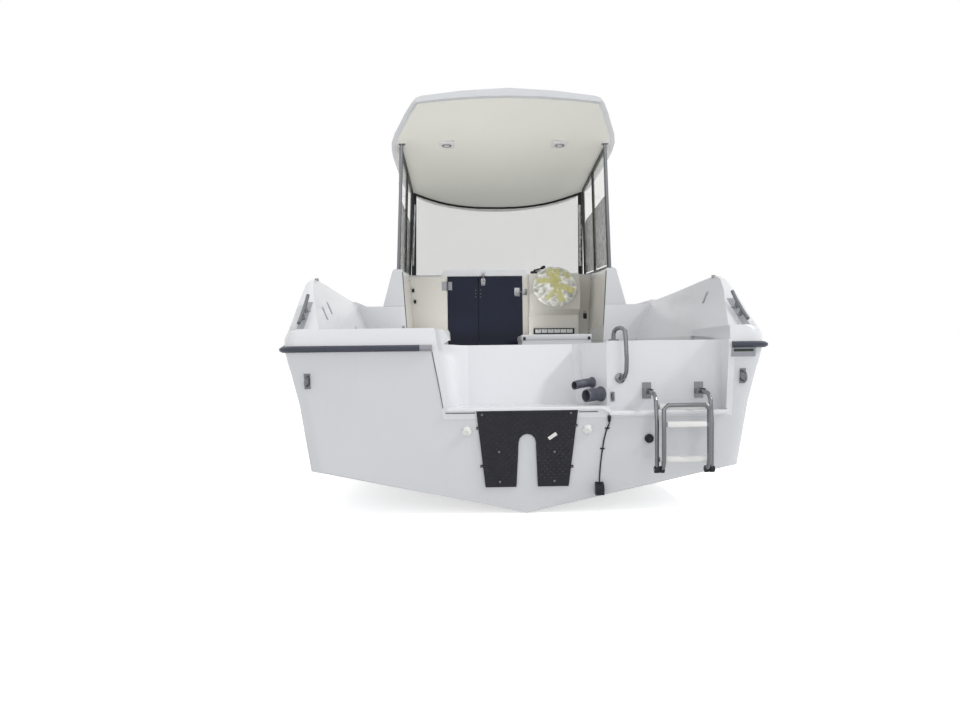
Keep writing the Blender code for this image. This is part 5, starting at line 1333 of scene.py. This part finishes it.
@dataclass
class Boot:
    """A rigging boot: a ridged sleeve with an open, dark end. Sizes in metres."""

    node: str
    root: Vector
    reach: float
    radius: float
    flange: float
    ridges: int
    ridge_height: float
    droop: float
    axis: Vector = Vector((-0.845, -0.535, 0.0)).normalized()
    wall: float = 0.0035
    bore: float = 0.040
    first_ridge: float = 0.012
    plain_end: float = 0.008
    foot: float = 0.004
    foot_round: float = 0.002
    lip: float = 0.0006
    taper: float = 0.001
    ridge_shares: tuple[float, float, float] = (0.30, 0.62, 0.90)
    screws: int = 4
    screw_inset: float = 0.003
    screw: Array = Array(Head.SCREW, 0.0017, 0.0012)

    def profile(self) -> list[tuple[float, float]]:
        """Work out the sleeve's outline.

        Returns:
            (distance, radius) pairs, out along its skin and back down its bore.
        """
        edge = self.foot + self.foot_round
        pairs = [(0.0, self.flange), (self.foot, self.flange), (edge, self.flange - self.foot_round),
                 (edge + self.foot_round, self.radius)]
        stop = self.reach - self.plain_end
        pitch = (stop - self.first_ridge) / self.ridges
        groove = self.radius - self.ridge_height
        rise, fall, end = self.ridge_shares
        for k in range(self.ridges):
            start = self.first_ridge + pitch * k
            pairs += [(start, groove), (start + pitch * rise, self.radius),
                      (start + pitch * fall, self.radius), (start + pitch * end, groove)]
        inside = self.radius - self.wall
        return [*pairs, (stop, self.radius), (self.reach, self.radius - self.lip), (self.reach, inside),
                (self.reach - self.bore, inside - self.taper)]

    def build(self) -> None:
        """Build the sleeve in the place of its node, sagging a little along its reach."""
        sleeve = Shape()
        sleeve.lathe(Turning(self.profile(), 36), self.root, self.axis)
        for point in sleeve.grid.verts:
            share = (point.co - self.root).dot(self.axis) / self.reach
            point.co -= UP * self.droop * share * abs(share)
        made = sleeve.piece(f"{self.node}_sleeve", HOSE)
        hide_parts(self.node)
        side = self.axis.cross(UP).normalized()
        feet = circle(self.root + self.axis * self.foot, side, UP, self.flange - self.screw_inset,
                      self.screws, math.pi / self.screws)
        self.screw.lay(f"{self.node}_screws", [(foot, self.axis) for foot in feet])


@dataclass
class Rigging:
    """The two boots in the motor well's starboard corner."""

    boots: tuple[Boot, ...] = (
        Boot("rigging_boot_1", afloat(0.348, 0.210, 0.630), 0.120, 0.022, 0.028, 5, 0.0016, 0.012),
        Boot("rigging_boot_2", afloat(0.382, 0.156, 0.574), 0.100, 0.032, 0.038, 8, 0.0042, 0.006),
    )

    def build(self) -> None:
        """Build both boots."""
        for boot in self.boots:
            boot.build()


@dataclass
class LadderTrim:
    """Tread covers, black knuckles and steel pins of the ladder's two flights."""

    middle: float = 0.732
    tread: tuple[float, float] = (0.0255, 0.025)
    tread_edge: float = 0.006
    rib: tuple[float, float] = (0.0022, 0.0020)
    rib_edge: float = 0.0006
    ribs: range = range(-2, 3)
    rib_pitch: float = 0.0050
    rib_short: float = 0.014
    upper_half: float = 0.118
    upper_bars: tuple[tuple[float, float], ...] = ((-0.064, 0.520), (-0.057, 0.272))
    lower_half: float = 0.094
    lower_bars: tuple[tuple[float, float], ...] = ((-0.103, 0.440),)
    knee: tuple[float, float] = (-0.058, 0.225)
    knuckle: float = 0.0165
    knuckle_rim: float = 0.002
    upper_knuckle: tuple[float, float] = (0.131, 0.023)
    lower_knuckle: tuple[float, float] = (0.106, 0.021)
    barrel_sides: int = 28
    pin: Turning = Turning(((0.0, 0.0062), (0.0024, 0.0058), (0.0034, 0.0040), (0.0034, 0.0)), 20)

    def treads(self, name: str, flight: str, half: float, bars: Sequence[tuple[float, float]]) -> None:
        """Clip a ribbed cover on each bar.

        Args:
            name: the piece's name.
            flight: "upper" or "lower".
            half: half of a cover's length.
            bars: each bar's y and z in boat coordinates.
        """
        deep, tall = self.tread
        cover = Block((2 * half, deep, tall), self.tread_edge, 3)
        rib = Block((2 * half - self.rib_short, *self.rib), self.rib_edge, 1)
        parts = []
        for y, z in bars:
            spot = afloat(self.middle, y, z)
            parts.append((spot, cover))
            parts += [(spot + Vector((0.0, k * self.rib_pitch, tall / 2)), rib) for k in self.ribs]
        blocks(name, PLASTIC, parts, f"ladder_{flight}")

    def knees(self, offset: float, width: float) -> list[Place]:
        """Give the inner end of the barrel on each rail, this far out and this wide, and its way out."""
        return [(afloat(self.middle + hand * (offset - width / 2), *self.knee), STARBOARD * hand)
                for _, hand in SIDES]

    def knuckles(self, flight: str, offset: float, width: float) -> None:
        """Set a black barrel round each rail's end at the knee.

        Args:
            flight: "upper" or "lower".
            offset: distance of a barrel's middle from the ladder's.
            width: a barrel's width.
        """
        r, rim = self.knuckle, self.knuckle_rim
        barrel = Turning(((0.0, r - rim), (rim, r), (width - rim, r), (width, r - rim)), self.barrel_sides)
        turned(f"{flight}_knuckles", BLACK, barrel, self.knees(offset, width), f"ladder_{flight}")

    def pins(self) -> None:
        """Let a steel pin's head stand out of each of the upper flight's barrels."""
        offset, width = self.upper_knuckle
        pin = Turning([(width + along, radius) for along, radius in self.pin.profile], self.pin.sides)
        turned("upper_pins", CHROME, pin, self.knees(offset, width), "ladder_upper")

    def build(self) -> None:
        """Dress both flights."""
        self.treads("upper_treads", "upper", self.upper_half, self.upper_bars)
        self.treads("lower_tread", "lower", self.lower_half, self.lower_bars)
        self.knuckles("upper", *self.upper_knuckle)
        self.pins()
        self.knuckles("lower", *self.lower_knuckle)


@dataclass
class Door:
    """Rivets, latches and the pale hinge plate of the folding cuddy door."""

    face: float = 2.651
    seam: float = -0.193
    rivet_reach: float = 0.021
    rivet_heights: tuple[float, ...] = (1.345, 1.315, 1.286)
    rivet: Array = Array(Head.RIVET, 0.0044, 0.0024)
    bolt: float = -0.150
    bolt_plate: Block = Block((0.034, 0.0036, 0.060), 0.0012)
    bolt_case: Block = Block((0.018, 0.010, 0.034), 0.0025, 3)
    bolt_rod: tuple[float, ...] = (1.385, 1.410, 1.440, 1.4545)
    bolt_knob: tuple[float, ...] = (-0.024, 0.0, 0.024)
    keeper_plate: Block = Block((0.036, 0.0040, 0.026), 0.0012)
    keeper_cup: Block = Block((0.020, 0.0160, 0.014), 0.0030, 3)
    latch: tuple[float, float] = (0.1375, 1.324)
    latch_plate: Block = Block((0.048, 0.0040, 0.074), 0.0014)
    latch_case: Block = Block((0.022, 0.0120, 0.030), 0.0030, 3)
    latch_rod: tuple[float, ...] = (-0.016, 0.010, 0.0385)
    latch_screws: Size = (0.018, 0.030, 0.004)
    latch_head: Array = Array(Head.SCREW, 0.0030, 0.0014)
    catch_plate: Block = Block((0.034, 0.0040, 0.052), 0.0014)
    catch_cup: Block = Block((0.016, 0.0170, 0.022), 0.0030, 3)
    hinge: tuple[float, float] = (-0.430, 1.380)
    flap: Block = Block((0.034, 0.0030, 0.072), 0.0010)
    flap_screws: tuple[float, ...] = (-0.024, 0.0, 0.024)
    flap_head: Array = Array(Head.SCREW, 0.0034, 0.0014)

    def on_face(self, x: float, z: float, away: float = 0.0) -> Vector:
        """Give a point this far aft of the leaves' face."""
        return afloat(x, self.face - away, z)

    def rivets(self) -> None:
        """Rivet the seam hinge to both leaves."""
        for hand, body in ((-1.0, "door_inner"), (1.0, "door_outer")):
            x = self.seam + hand * self.rivet_reach
            places = [(self.on_face(x, z), ASTERN) for z in self.rivet_heights]
            self.rivet.lay(f"{body}_rivets", places, CHROME, body)

    def top_bolt(self) -> None:
        """Fit the bolt on the outer leaf and its keeper on the header."""
        x = self.bolt
        bolt = Shape()
        bolt.slab(self.on_face(x, 1.412, 0.0018), self.bolt_plate)
        bolt.slab(self.on_face(x, 1.408, 0.0060), self.bolt_case)
        bolt.bar([self.on_face(x, z, 0.0075) for z in self.bolt_rod], 0.0048, 14)
        bolt.bar([self.on_face(x + dx, 1.418, 0.0100) for dx in self.bolt_knob], 0.0042, 12)
        bolt.piece("door_bolt", CHROME, "door_outer")
        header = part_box("door_header")[0].y - STERN_Y
        blocks("door_bolt_keeper", CHROME, [
            (afloat(x, header - 0.0020, 1.4800), self.keeper_plate),
            (afloat(x, header - 0.0100, 1.4770), self.keeper_cup)])

    def side_latch(self) -> None:
        """Fit the slide latch on the outer leaf and its keeper on the bulkhead."""
        x, z = self.latch
        slide = Shape()
        slide.slab(self.on_face(x, z, 0.0020), self.latch_plate)
        slide.slab(self.on_face(x + 0.004, z, 0.0080), self.latch_case)
        slide.bar([self.on_face(x + dx, z, 0.0085) for dx in self.latch_rod], 0.0050, 14)
        slide.piece("door_latch", CHROME, "door_outer")
        wide, tall, away = self.latch_screws
        heads = [(self.on_face(x + dx, z + dz, away), ASTERN)
                 for dx in (-wide, wide) for dz in (-tall, tall)]
        self.latch_head.lay("door_latch_screws", heads, body="door_outer")
        blocks("door_latch_keeper", CHROME, [
            (afloat(0.2030, 2.6580, z), self.catch_plate),
            (afloat(0.2010, 2.6480, z), self.catch_cup)])

    def hinge_plate(self) -> None:
        """Lay the hinge's pale flap on the inner leaf."""
        x, z = self.hinge
        blocks("door_hinge_flap", CAP, [(self.on_face(x, z, 0.0016), self.flap)], "door_inner")
        heads = [(self.on_face(x + 0.004, z + dz, 0.0031), ASTERN) for dz in self.flap_screws]
        self.flap_head.lay("door_hinge_flap_screws", heads, body="door_inner")

    def build(self) -> None:
        """Dress the door."""
        self.rivets()
        self.top_bolt()
        self.side_latch()
        self.hinge_plate()


@dataclass
class Helm:
    """Rocker switches, lock, throttle sleeve and the wheel's wrapping."""

    panel: tuple[float, float, float, float] = (0.262, 0.602, 0.961, 1.009)
    panel_face: float = 2.528
    panel_rim: float = 0.012
    rockers: int = 6
    rocker_gap: float = 0.005
    bulkhead: float = 2.660
    lock: tuple[float, float] = (0.712, 1.150)
    lock_ring: Turning = Turning(((0.0, 0.0120), (0.0040, 0.0118), (0.0060, 0.0100), (0.0060, 0.0070),
                                  (0.0035, 0.0060), (0.0035, 0.0)), 28)
    lock_cover: Block = Block((0.030, 0.0100, 0.046), 0.0046, 4)
    lock_key: Block = Block((0.008, 0.0080, 0.024), 0.0020)
    lever_foot: Vector = afloat(0.271, 2.560, 1.4623)
    lever_reach: Vector = Vector((0.072, -0.020, 0.052))
    lever_sleeve: Profile = ((0.22, 0.0088), (0.40, 0.0082), (0.60, 0.0080), (0.76, 0.0084))
    wheel: Vector = afloat(0.422, 2.352, 1.338)
    shaft: Vector = Vector((0.0, -0.926232, 0.376955))
    bag: Profile = (
        (0.012, 0.036), (0.045, 0.037), (0.080, 0.034), (0.115, 0.030), (0.145, 0.026), (0.168, 0.018),
        (0.179, 0.006), (0.180, -0.004), (0.172, -0.014), (0.150, -0.019), (0.120, -0.020), (0.090, -0.020),
        (0.062, -0.018))
    bag_sides: int = 72
    bands: tuple[tuple[float, ...], ...] = (
        (-0.052, 0.150, 0.050, -0.150, 0.056), (-0.148, 0.040, 0.030, 0.026, 0.046),
        (0.010, 0.148, 0.026, 0.020, 0.050), (0.035, -0.012, 0.150, -0.058, 0.054),
        (0.062, 0.128, 0.120, 0.060, 0.034), (-0.010, -0.060, -0.076, -0.130, 0.034))
    band_steps: tuple[int, int] = (24, 6)

    def switches(self) -> None:
        """Set a row of rockers with their marks in the switch panel."""
        left, right, low, high = self.panel
        pitch = (right - left - 2 * self.panel_rim) / self.rockers
        spots = [afloat(left + self.panel_rim + pitch * (k + 0.5), self.panel_face - 0.0012, (low + high) / 2)
                 for k in range(self.rockers)]
        rocker = Block((pitch - self.rocker_gap, 0.0060, high - low - 0.017), 0.0020, 3)
        blocks("switch_rockers", ROCKER, [(spot, rocker) for spot in spots])
        mark = Block((pitch * 0.30, 0.0012, 0.0030), 0.0004, 1)
        rise = Vector((0.0, -0.0032, 0.009))
        blocks("switch_marks", BLACK, [(spot + rise, mark) for spot in spots])

    def ignition(self) -> None:
        """Fit the round lock above its oval cover on the bulkhead."""
        x, z = self.lock
        turned("lock_ring", CHROME, self.lock_ring, [(afloat(x, self.bulkhead, z), ASTERN)])
        blocks("lock_cover", BLACK, [
            (afloat(x + 0.002, self.bulkhead - 0.0040, z - 0.034), self.lock_cover),
            (afloat(x + 0.002, self.bulkhead - 0.0110, z - 0.038), self.lock_key)])

    def throttle(self) -> None:
        """Sleeve the throttle's lever in bright steel."""
        sleeve = Shape()
        sleeve.bar([self.lever_foot + self.lever_reach * share for share, _ in self.lever_sleeve],
                   [radius for _, radius in self.lever_sleeve], 16)
        sleeve.piece("throttle_sleeve", CHROME)

    def on_wheel(self, across: float, up: float, rise: float) -> Vector:
        """Find a point over the wheel's plane.

        Args:
            across: distance to starboard from the hub.
            up: distance up the wheel's face.
            rise: height over the plane, towards the helm seat.

        Returns:
            The point in the row frame.
        """
        face_up = self.shaft.cross(STARBOARD).normalized()
        face_up = face_up if face_up.z > 0 else -face_up
        return self.wheel + STARBOARD * across + face_up * up + self.shaft * rise

    def wrapping(self) -> None:
        """Bag the wheel in crumpled clear film."""
        rings = []
        for radius, rise in self.bag:
            ring = []
            for k in range(self.bag_sides):
                turn = math.tau * k / self.bag_sides
                spot = Vector((math.cos(turn) * radius, math.sin(turn) * radius, rise))
                crumple = noise.noise(spot * 34.0) * 0.0052 + noise.noise(spot * 90.0) * 0.0020
                ring.append(self.on_wheel(spot.x * (1 + crumple), spot.y * (1 + crumple), rise + crumple))
            rings.append(ring)
        bag = Shape()
        bag.skin(rings, capped=False)
        bag.piece("wheel_wrap", WRAP, "steering_wheel", 60.0)

    def band(self, i: int, start: Vector, stop: Vector, width: float) -> list[list[Vector]]:
        """Lay one band of tape over the wrapping.

        Args:
            i: the band's number, which lifts it over the ones before.
            start: its first end on the wheel's plane.
            stop: its last end there.
            width: its width.

        Returns:
            Rows of points, from end to end.
        """
        long, wide = self.band_steps
        side = (stop - start).cross(UP).normalized() * width
        rows = []
        for a in range(long + 1):
            row = []
            for b in range(wide + 1):
                fray = 0.06 * noise.noise(Vector((a * 0.4, i, b)))
                flat = start.lerp(stop, a / long) + side * (b / wide - 0.5 + fray)
                swell = 0.036 - 0.60 * flat.length_squared
                crumple = noise.noise(Vector((flat.x, flat.y, 0.1 * i)) * 40.0) * 0.0045
                row.append(self.on_wheel(flat.x, flat.y, swell + 0.0040 + 0.0009 * i + crumple))
            rows.append(row)
        return rows

    def tapes(self) -> None:
        """Stick bands of tape over the wrapping."""
        tape = Shape()
        for i, (x0, z0, x1, z1, width) in enumerate(self.bands):
            rows = self.band(i, Vector((x0, z0, 0.0)), Vector((x1, z1, 0.0)), width)
            tape.skin(rows, capped=False, ringed=False)
        tape.piece("wheel_tape", TAPE, "steering_wheel", 60.0)

    def build(self) -> None:
        """Dress the helm."""
        self.switches()
        self.ignition()
        self.throttle()
        self.wrapping()
        self.tapes()


@dataclass
class Windows:
    """Protective films on the windows, and the screws of their frames."""

    soundings: Soundings
    film_top: float = 2.010
    side_margin: float = 0.014
    screen_margin: float = 0.003
    screen_top: float = 3.0
    side_steps: tuple[int, int] = (28, 34)
    screen_steps: tuple[int, int] = (60, 24)
    screen_fan: float = 55.0
    screen_middle: Vector = afloat(0.0, 2.60, 0.0)
    outside: float = 1.4
    column_steps: int = 120
    stand: float = 0.005
    crumple: float = 0.006
    strip_ends: tuple[tuple[str, Pixel, Pixel, float], ...] = (
        ("port", (415.0, 205.0), (413.2, 266.0), 0.016), ("starboard", (579.8, 205.0), (580.2, 266.0), 0.030))
    strip_steps: tuple[int, int] = (30, 4)
    screw_steps: int = 10
    screw_end: float = 0.03
    screw_margin: float = 0.012
    screw: Array = Array(Head.SCREW, 0.0040, 0.0018)

    def column(self, node: str, ray: Ray) -> tuple[float, float] | None:
        """Find the lowest and highest landing on a node along an upright row of rays.

        Args:
            node: the node's name.
            ray: the rays' start at a height, and their direction.

        Returns:
            The two heights, or None where no ray lands.
        """
        start, heading = ray
        low, high = self.soundings.box(node)
        heights = spread(low.z, high.z, 0.0, self.column_steps)
        found = [z for z in heights if self.soundings.land(node, start(z), heading)]
        return (found[0], found[-1]) if found else None

    def side_ray(self, hand: float, y: float) -> Ray:
        """Give the inward ray from one side at a station."""
        return (lambda z: Vector((hand * self.outside, y, z))), STARBOARD * -hand

    def film(self, name: str, node: str, rays: Sequence[Ray], top: float, margin: float, rows: int,
             finish: Finish) -> None:
        """Lay a film over a pane from its foot up to a height.

        Args:
            name: the piece's name.
            node: the pane's node.
            rays: one for each column of points.
            top: the film's highest height in boat coordinates.
            margin: distance from the pane's foot and head.
            rows: stretches up each column.
            finish: the film's finish.
        """
        sheet = []
        for ray in rays:
            ends = self.column(node, ray)
            if ends is None:
                continue
            start, heading = ray
            foot, head = ends[0] + margin, min(ends[1] - margin, top + KEEL_Z)
            hits = [self.soundings.land(node, start(foot + (head - foot) * k / rows), heading)
                    for k in range(rows + 1)]
            if all(hits):
                sheet.append([spot - heading * self.lift(spot) for spot, _ in hits])
        panel = Shape()
        panel.skin(sheet, capped=False, ringed=False)
        panel.piece(name, finish, crease=70.0)

    def lift(self, spot: Vector) -> float:
        """Give a film's distance from its pane, with its ripples."""
        return self.stand + self.crumple * abs(noise.noise(spot * 11.0) + 0.5 * noise.noise(spot * 31.0))

    def side_films(self) -> None:
        """Cover the lower part of each side pane, on its outside."""
        columns, rows = self.side_steps
        for side, hand in SIDES:
            for part in ("aft", "fore"):
                node = f"side_pane_{part}_{side}"
                low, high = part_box(node)
                rays = [self.side_ray(hand, y) for y in spread(low.y, high.y, self.side_margin, columns)]
                self.film(f"film_{part}_{side}", node, rays, self.film_top, self.side_margin, rows, SIDE_FILM)

    def screen_film(self) -> None:
        """Cover the windscreen on its inside, from a fan of rays."""
        columns, rows = self.screen_steps
        middle = self.screen_middle
        rays = []
        for angle in spread(-self.screen_fan, self.screen_fan, 0.0, columns):
            turn = math.radians(angle)
            heading = Vector((math.sin(turn), math.cos(turn), 0.0))
            rays.append((lambda z: Vector((middle.x, middle.y, z)), heading))
        self.film("film_windscreen", "windscreen_glass", rays, self.screen_top, self.screen_margin, rows,
                  SCREEN_FILM)

    def strips(self) -> None:
        """Lay the loose strips of film beside the windscreen's upright frames."""
        long, wide = self.strip_steps
        for name, head, foot, width in self.strip_ends:
            top, low = (self.soundings.seen(pixel, "windscreen_frame")[0] for pixel in (head, foot))
            rows = []
            for k in range(long + 1):
                spot = top.lerp(low, k / long)
                row = [spot + STARBOARD * width * (b / wide - 0.5) for b in range(wide + 1)]
                rows.append([p + ASTERN * (0.006 + 0.008 * abs(noise.noise(p * 40.0))) for p in row])
            strip = Shape()
            strip.skin(rows, capped=False, ringed=False)
            strip.piece(f"film_strip_{name}", STRIP_FILM, crease=70.0)

    def screws(self) -> None:
        """Screw each side frame down along its foot and head, on its outside."""
        for side, hand in SIDES:
            node = f"side_window_frame_{side}"
            low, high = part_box(node)
            places = []
            for y in spread(low.y, high.y, self.screw_end, self.screw_steps):
                start, heading = ray = self.side_ray(hand, y)
                ends = self.column(node, ray)
                if ends:
                    heights = (ends[0] + self.screw_margin, ends[1] - self.screw_margin)
                    places += [self.soundings.land(node, start(z), heading) for z in heights]
            self.screw.lay(f"window_screws_{side}", filter(None, places))

    def build(self) -> None:
        """Dress the windows."""
        self.side_films()
        self.screen_film()
        self.strips()
        self.screws()


@dataclass
class Cockpit:
    """Fittings of the cockpit and the stern: seams and painted shadow lines under the lips, grey pads that
    paint the shade of the cleats' recesses, slots, a vent whose colours paint shade, lid, and panels with a
    painted shadow gap.
    """

    soundings: Soundings
    # The first line follows the hull and deck joint; the other two lie under the lips, where the bead paints
    # their shadow.
    seam_and_shadow_lines: tuple[tuple[Pixel, ...], ...] = (
        ((431.6, 350.5), (432.6, 355), (434.6, 365), (437.2, 378), (439.8, 391), (441.8, 402),
         (443.0, 408.5)),
        ((445.5, 413.4), (455, 413.4), (465, 413.3), (475, 413.2)),
        ((579, 411.8), (585, 411.7), (592, 411.6), (598, 411.5)),
    )
    bead: float = 0.0024
    # Sizes of the grey pads that paint the shade of the cleats' recesses.
    recess_shade_steps: int = 18
    recess_shade_across: tuple[float, ...] = (-0.017, -0.006, 0.006, 0.017)
    recess_shade_ends: tuple[float, float] = (0.012, 0.028)
    slot_middles: tuple[tuple[str, tuple[Pixel, ...]], ...] = (
        ("port", ((329.5, 308.0), (325.0, 313.5))), ("starboard", ((705.3, 297.5),)))
    slot_plate: Block = Block((0.030, 0.070, 0.0030), 0.0012)
    vent_middle: Pixel = (743.5, 351.2)
    # The vent's grey plate and dark slot paint the shade in the recess under the rub rail's end.
    vent_shade_plate: Block = Block((0.118, 0.050, 0.0030), 0.0012)
    vent_shade_slot: Block = Block((0.096, 0.013, 0.0030), 0.0012)
    peak: tuple[float, float] = (1.118, -2.33)
    peak_stud: Turning = Turning((
        (-0.002, 0.0130), (0.002, 0.0130), (0.003, 0.0080), (0.006, 0.0080), (0.007, 0.0125),
        (0.010, 0.0125), (0.012, 0.0080), (0.012, 0.0)))
    lid: Block = Block((0.486, 0.442, 0.040), 0.010, 4)
    lid_middle: Vector = afloat(0.328, 1.715, 0.9015)
    lid_catch: Block = Block((0.018, 0.0050, 0.022), 0.0015)
    lid_catch_inset: float = 0.020
    lid_hinge: Size = (0.14, 0.030, 0.0045)
    lining_span: tuple[float, float, int] = (1.972, 0.670, 20)
    lining_rise: tuple[float, float, int] = (1.000, 0.415, 12)
    lining_stand: float = 0.0030
    lining_wall: float = 0.0028
    # Distance behind the lining and radius of the dark bar that paints the shadow gap at its aft end.
    gap: tuple[float, float] = (0.0035, 0.0030)
    wing_catches: tuple[tuple[float, float], ...] = ((-0.742, 1.345), (-0.727, 1.250))
    wing_catch: Block = Block((0.020, 0.0160, 0.030), 0.0035, 3)
    wing_catch_y: float = 2.648
    button_middles: tuple[Pixel, ...] = ((356.0, 328.0), (403.5, 327.3))
    button: Turning = Turning(((-0.0005, 0.0120), (0.0025, 0.0118), (0.0040, 0.0090), (0.0040, 0.0)))

    def seams(self) -> None:
        """Run the dark bead down the hull and deck moulding's joint at the notch, and on under the lips,
        where it paints their shadow.
        """
        seam = Shape()
        for line in self.seam_and_shadow_lines:
            spots = [self.soundings.seen(pixel, "hull", "deck") for pixel in line]
            seam.bar(rounded_path([spot + out * 0.0004 for spot, out in spots], 4), self.bead, 8)
        seam.piece("deck_seam_and_lip_shadow", SEALANT_AND_SHADOW)

    def cleat_recess_shades(self) -> None:
        """Lay a grey pad on the bulwark under each stern cleat, painting the shade of the recess it sits in.
        """
        aft, fore = self.recess_shade_ends
        for side, _ in SIDES:
            low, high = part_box(f"stern_cleat_{side}")
            x = (low.x + high.x) / 2
            rows = []
            for y in spread(low.y - aft, high.y + fore, 0.0, self.recess_shade_steps):
                hits = self.soundings.drop("deck", [(x + dx, y) for dx in self.recess_shade_across])
                over = [spot + out * 0.0016 for spot, out in hits]
                rows.append(over + [p - UP * 0.004 for p in over[::-1]])
            pad = Shape()
            pad.skin(rows)
            pad.piece(f"cleat_recess_shade_{side}", INLAY_AND_SHADE)

    def slots(self) -> None:
        """Set the small recessed plates in the bulwarks' inner faces."""
        for side, pixels in self.slot_middles:
            plate = Shape()
            for pixel in pixels:
                spot, out = self.soundings.seen(pixel, "deck")
                plate.slab(spot + out * 0.0010, self.slot_plate, axes_on(out))
            plate.piece(f"bulwark_slots_{side}", INLAY_AND_SHADE)

    def vent(self) -> None:
        """Fit a grey plate and a dark slot under the starboard end of the rub rail, whose colours paint the
        shade of the recess there.
        """
        spot, out = self.soundings.seen(self.vent_middle, "hull")
        turn = axes_on(out)
        blocks("vent_shade_plate", INLAY_AND_SHADE, [(spot + out * 0.0010, self.vent_shade_plate)], turn=turn)
        middle = spot + out * 0.0022 + TRANSOM_UP * 0.006
        blocks("vent_shade_slot", SHADE, [(middle, self.vent_shade_slot)], turn=turn)

    def peaks(self) -> None:
        """Set a small bright stud on the peak of each bulwark."""
        x, y = self.peak
        for side, hand in SIDES:
            feet = [(spot, UP) for spot, _ in self.soundings.drop("deck", [(hand * x, y)])]
            turned(f"peak_stud_{side}", CHROME, self.peak_stud, feet)

    def seat_lid(self) -> None:
        """Close the seat box with its lid, hinges and latches."""
        wide, deep, _ = self.lid.size
        blocks("seat_lid", WHITE, [(self.lid_middle, self.lid)])
        reach = wide / 2 - self.lid_catch_inset
        blocks("seat_catches", BLACK, [
            (self.lid_middle + Vector((dx, -deep / 2 - 0.0010, -0.008)), self.lid_catch)
            for dx in (-reach, reach)])
        hinges = Shape()
        apart, half, radius = self.lid_hinge
        for dx in (-apart, apart):
            foot = self.lid_middle + Vector((dx, deep / 2 + 0.001, 0.006))
            hinges.bar([foot - STARBOARD * half, foot, foot + STARBOARD * half], radius, 12)
        hinges.piece("seat_hinges", STAINLESS)

    def lining_point(self, start: Vector, hand: float) -> Vector:
        """Find the lining's face on the nearer of the coaming and the trunk, from the centreline."""
        hits = [self.soundings.land(node, start, STARBOARD * hand) for node in ("deck", "cabin_trunk")]
        nearest = min(filter(None, hits), key=lambda hit: abs(hit[0].x))
        return nearest[0] - STARBOARD * hand * self.lining_stand

    def linings(self) -> None:
        """Line the coamings' inner sides in cream, with a dark bar at their aft ends that paints the shadow
        gap between lining and moulding.
        """
        aft, span, columns = self.lining_span
        foot, rise, steps = self.lining_rise
        for side, hand in SIDES:
            rows = [[self.lining_point(afloat(0.0, aft + span * j / columns, foot + rise * k / steps), hand)
                     for j in range(columns + 1)] for k in range(steps + 1)]
            lining = Shape()
            lining.skin([row + [p + STARBOARD * hand * self.lining_wall for p in row[::-1]] for row in rows])
            lining.piece(f"coaming_lining_{side}", CREAM)
            # The dark bar paints the shadow in the gap between the lining and the moulding.
            behind, radius = self.gap
            gap = Shape()
            gap.bar([row[0] - Vector((0.0, behind, 0.0)) for row in rows], radius, 8)
            gap.piece(f"coaming_shadow_gap_{side}", SEALANT_AND_SHADOW)

    def catches(self) -> None:
        """Fit the two catches on the bulkhead's port side."""
        blocks("wing_catches", BLACK, [
            (afloat(x, self.wing_catch_y, z), self.wing_catch) for x, z in self.wing_catches])

    def buttons(self) -> None:
        """Set the two small dark buttons low in the cockpit's port side."""
        feet = [self.soundings.seen(pixel, "deck") for pixel in self.button_middles]
        turned("cockpit_buttons", INLAY_AND_SHADE, self.button, feet)

    def build(self) -> None:
        """Dress the cockpit and the stern."""
        self.seams()
        self.cleat_recess_shades()
        self.slots()
        self.vent()
        self.peaks()
        self.seat_lid()
        self.linings()
        self.catches()
        self.buttons()


@dataclass
class Foredeck:
    """Screws and catches of the hatch, and the anchor locker's ring pull."""

    soundings: Soundings
    inset: float = 0.012
    screw: Array = Array(Head.SCREW, 0.0035, 0.0014)
    catch: Turning = Turning(((-0.001, 0.0180), (0.004, 0.0180), (0.007, 0.0150), (0.008, 0.0060),
                              (0.008, 0.0)), 28)
    catch_place: tuple[float, float] = (0.11, 0.060)
    pull: Turning = Turning(((-0.0005, 0.0280), (0.0022, 0.0275), (0.0030, 0.0240), (0.0018, 0.0210),
                             (0.0018, 0.0)), 36)
    pull_inset: float = 0.055
    ring: float = 0.0160
    ring_rise: float = 0.0040
    ring_wire: float = 0.0018

    def hatch(self) -> None:
        """Screw the hatch frame down and fit the lid's two catches."""
        low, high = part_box("hatch_frame")
        rows = spread(low.y, high.y, self.inset, 2)
        spots = [(x, y) for x in spread(low.x, high.x, self.inset, 2) for y in rows]
        self.screw.lay("hatch_screws", self.soundings.drop("hatch_frame", spots))
        x, y = self.catch_place
        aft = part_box("hatch_lid")[0].y
        feet = self.soundings.drop("hatch_lid", [(-x, aft + y), (x, aft + y)])
        turned("hatch_catches", BLACK, self.catch, feet, "hatch_lid")

    def locker(self) -> None:
        """Fit the locker lid's ring pull."""
        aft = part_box("anchor_locker_lid")[0].y
        (foot, out), = self.soundings.drop("anchor_locker_lid", [(0.0, aft + self.pull_inset)])
        pull = Shape()
        pull.lathe(self.pull, foot, out)
        path = circle(foot + out * self.ring_rise, STARBOARD, -ASTERN, self.ring, 28)
        pull.bar(path, self.ring_wire, 8, looped=True)
        pull.piece("locker_pull", CHROME, "anchor_locker_lid")

    def build(self) -> None:
        """Dress the foredeck."""
        self.hatch()
        self.locker()


def main() -> None:
    """Load the frame and dress every part of it."""
    logging.basicConfig(level=logging.INFO, format="%(name)s: %(message)s")
    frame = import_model()
    sight = Sight()
    sight.camera()
    soundings = Soundings(frame["nodes"], sight)
    for casting, names in CASTINGS.items():
        for name in names:
            casting.dress(frame["nodes"][name])
            LOG.info("%s dressed in %s", name, casting.finish.name)
    for part in (Transom(soundings), HardtopTrim(soundings), Rigging(), LadderTrim(), Door(), Helm(),
                 Windows(soundings), Cockpit(soundings), Foredeck(soundings), Studio()):
        part.build()
        LOG.info("%s built", type(part).__name__)
    LOG.info("sizes written")


if __name__ == "__main__":
    main()
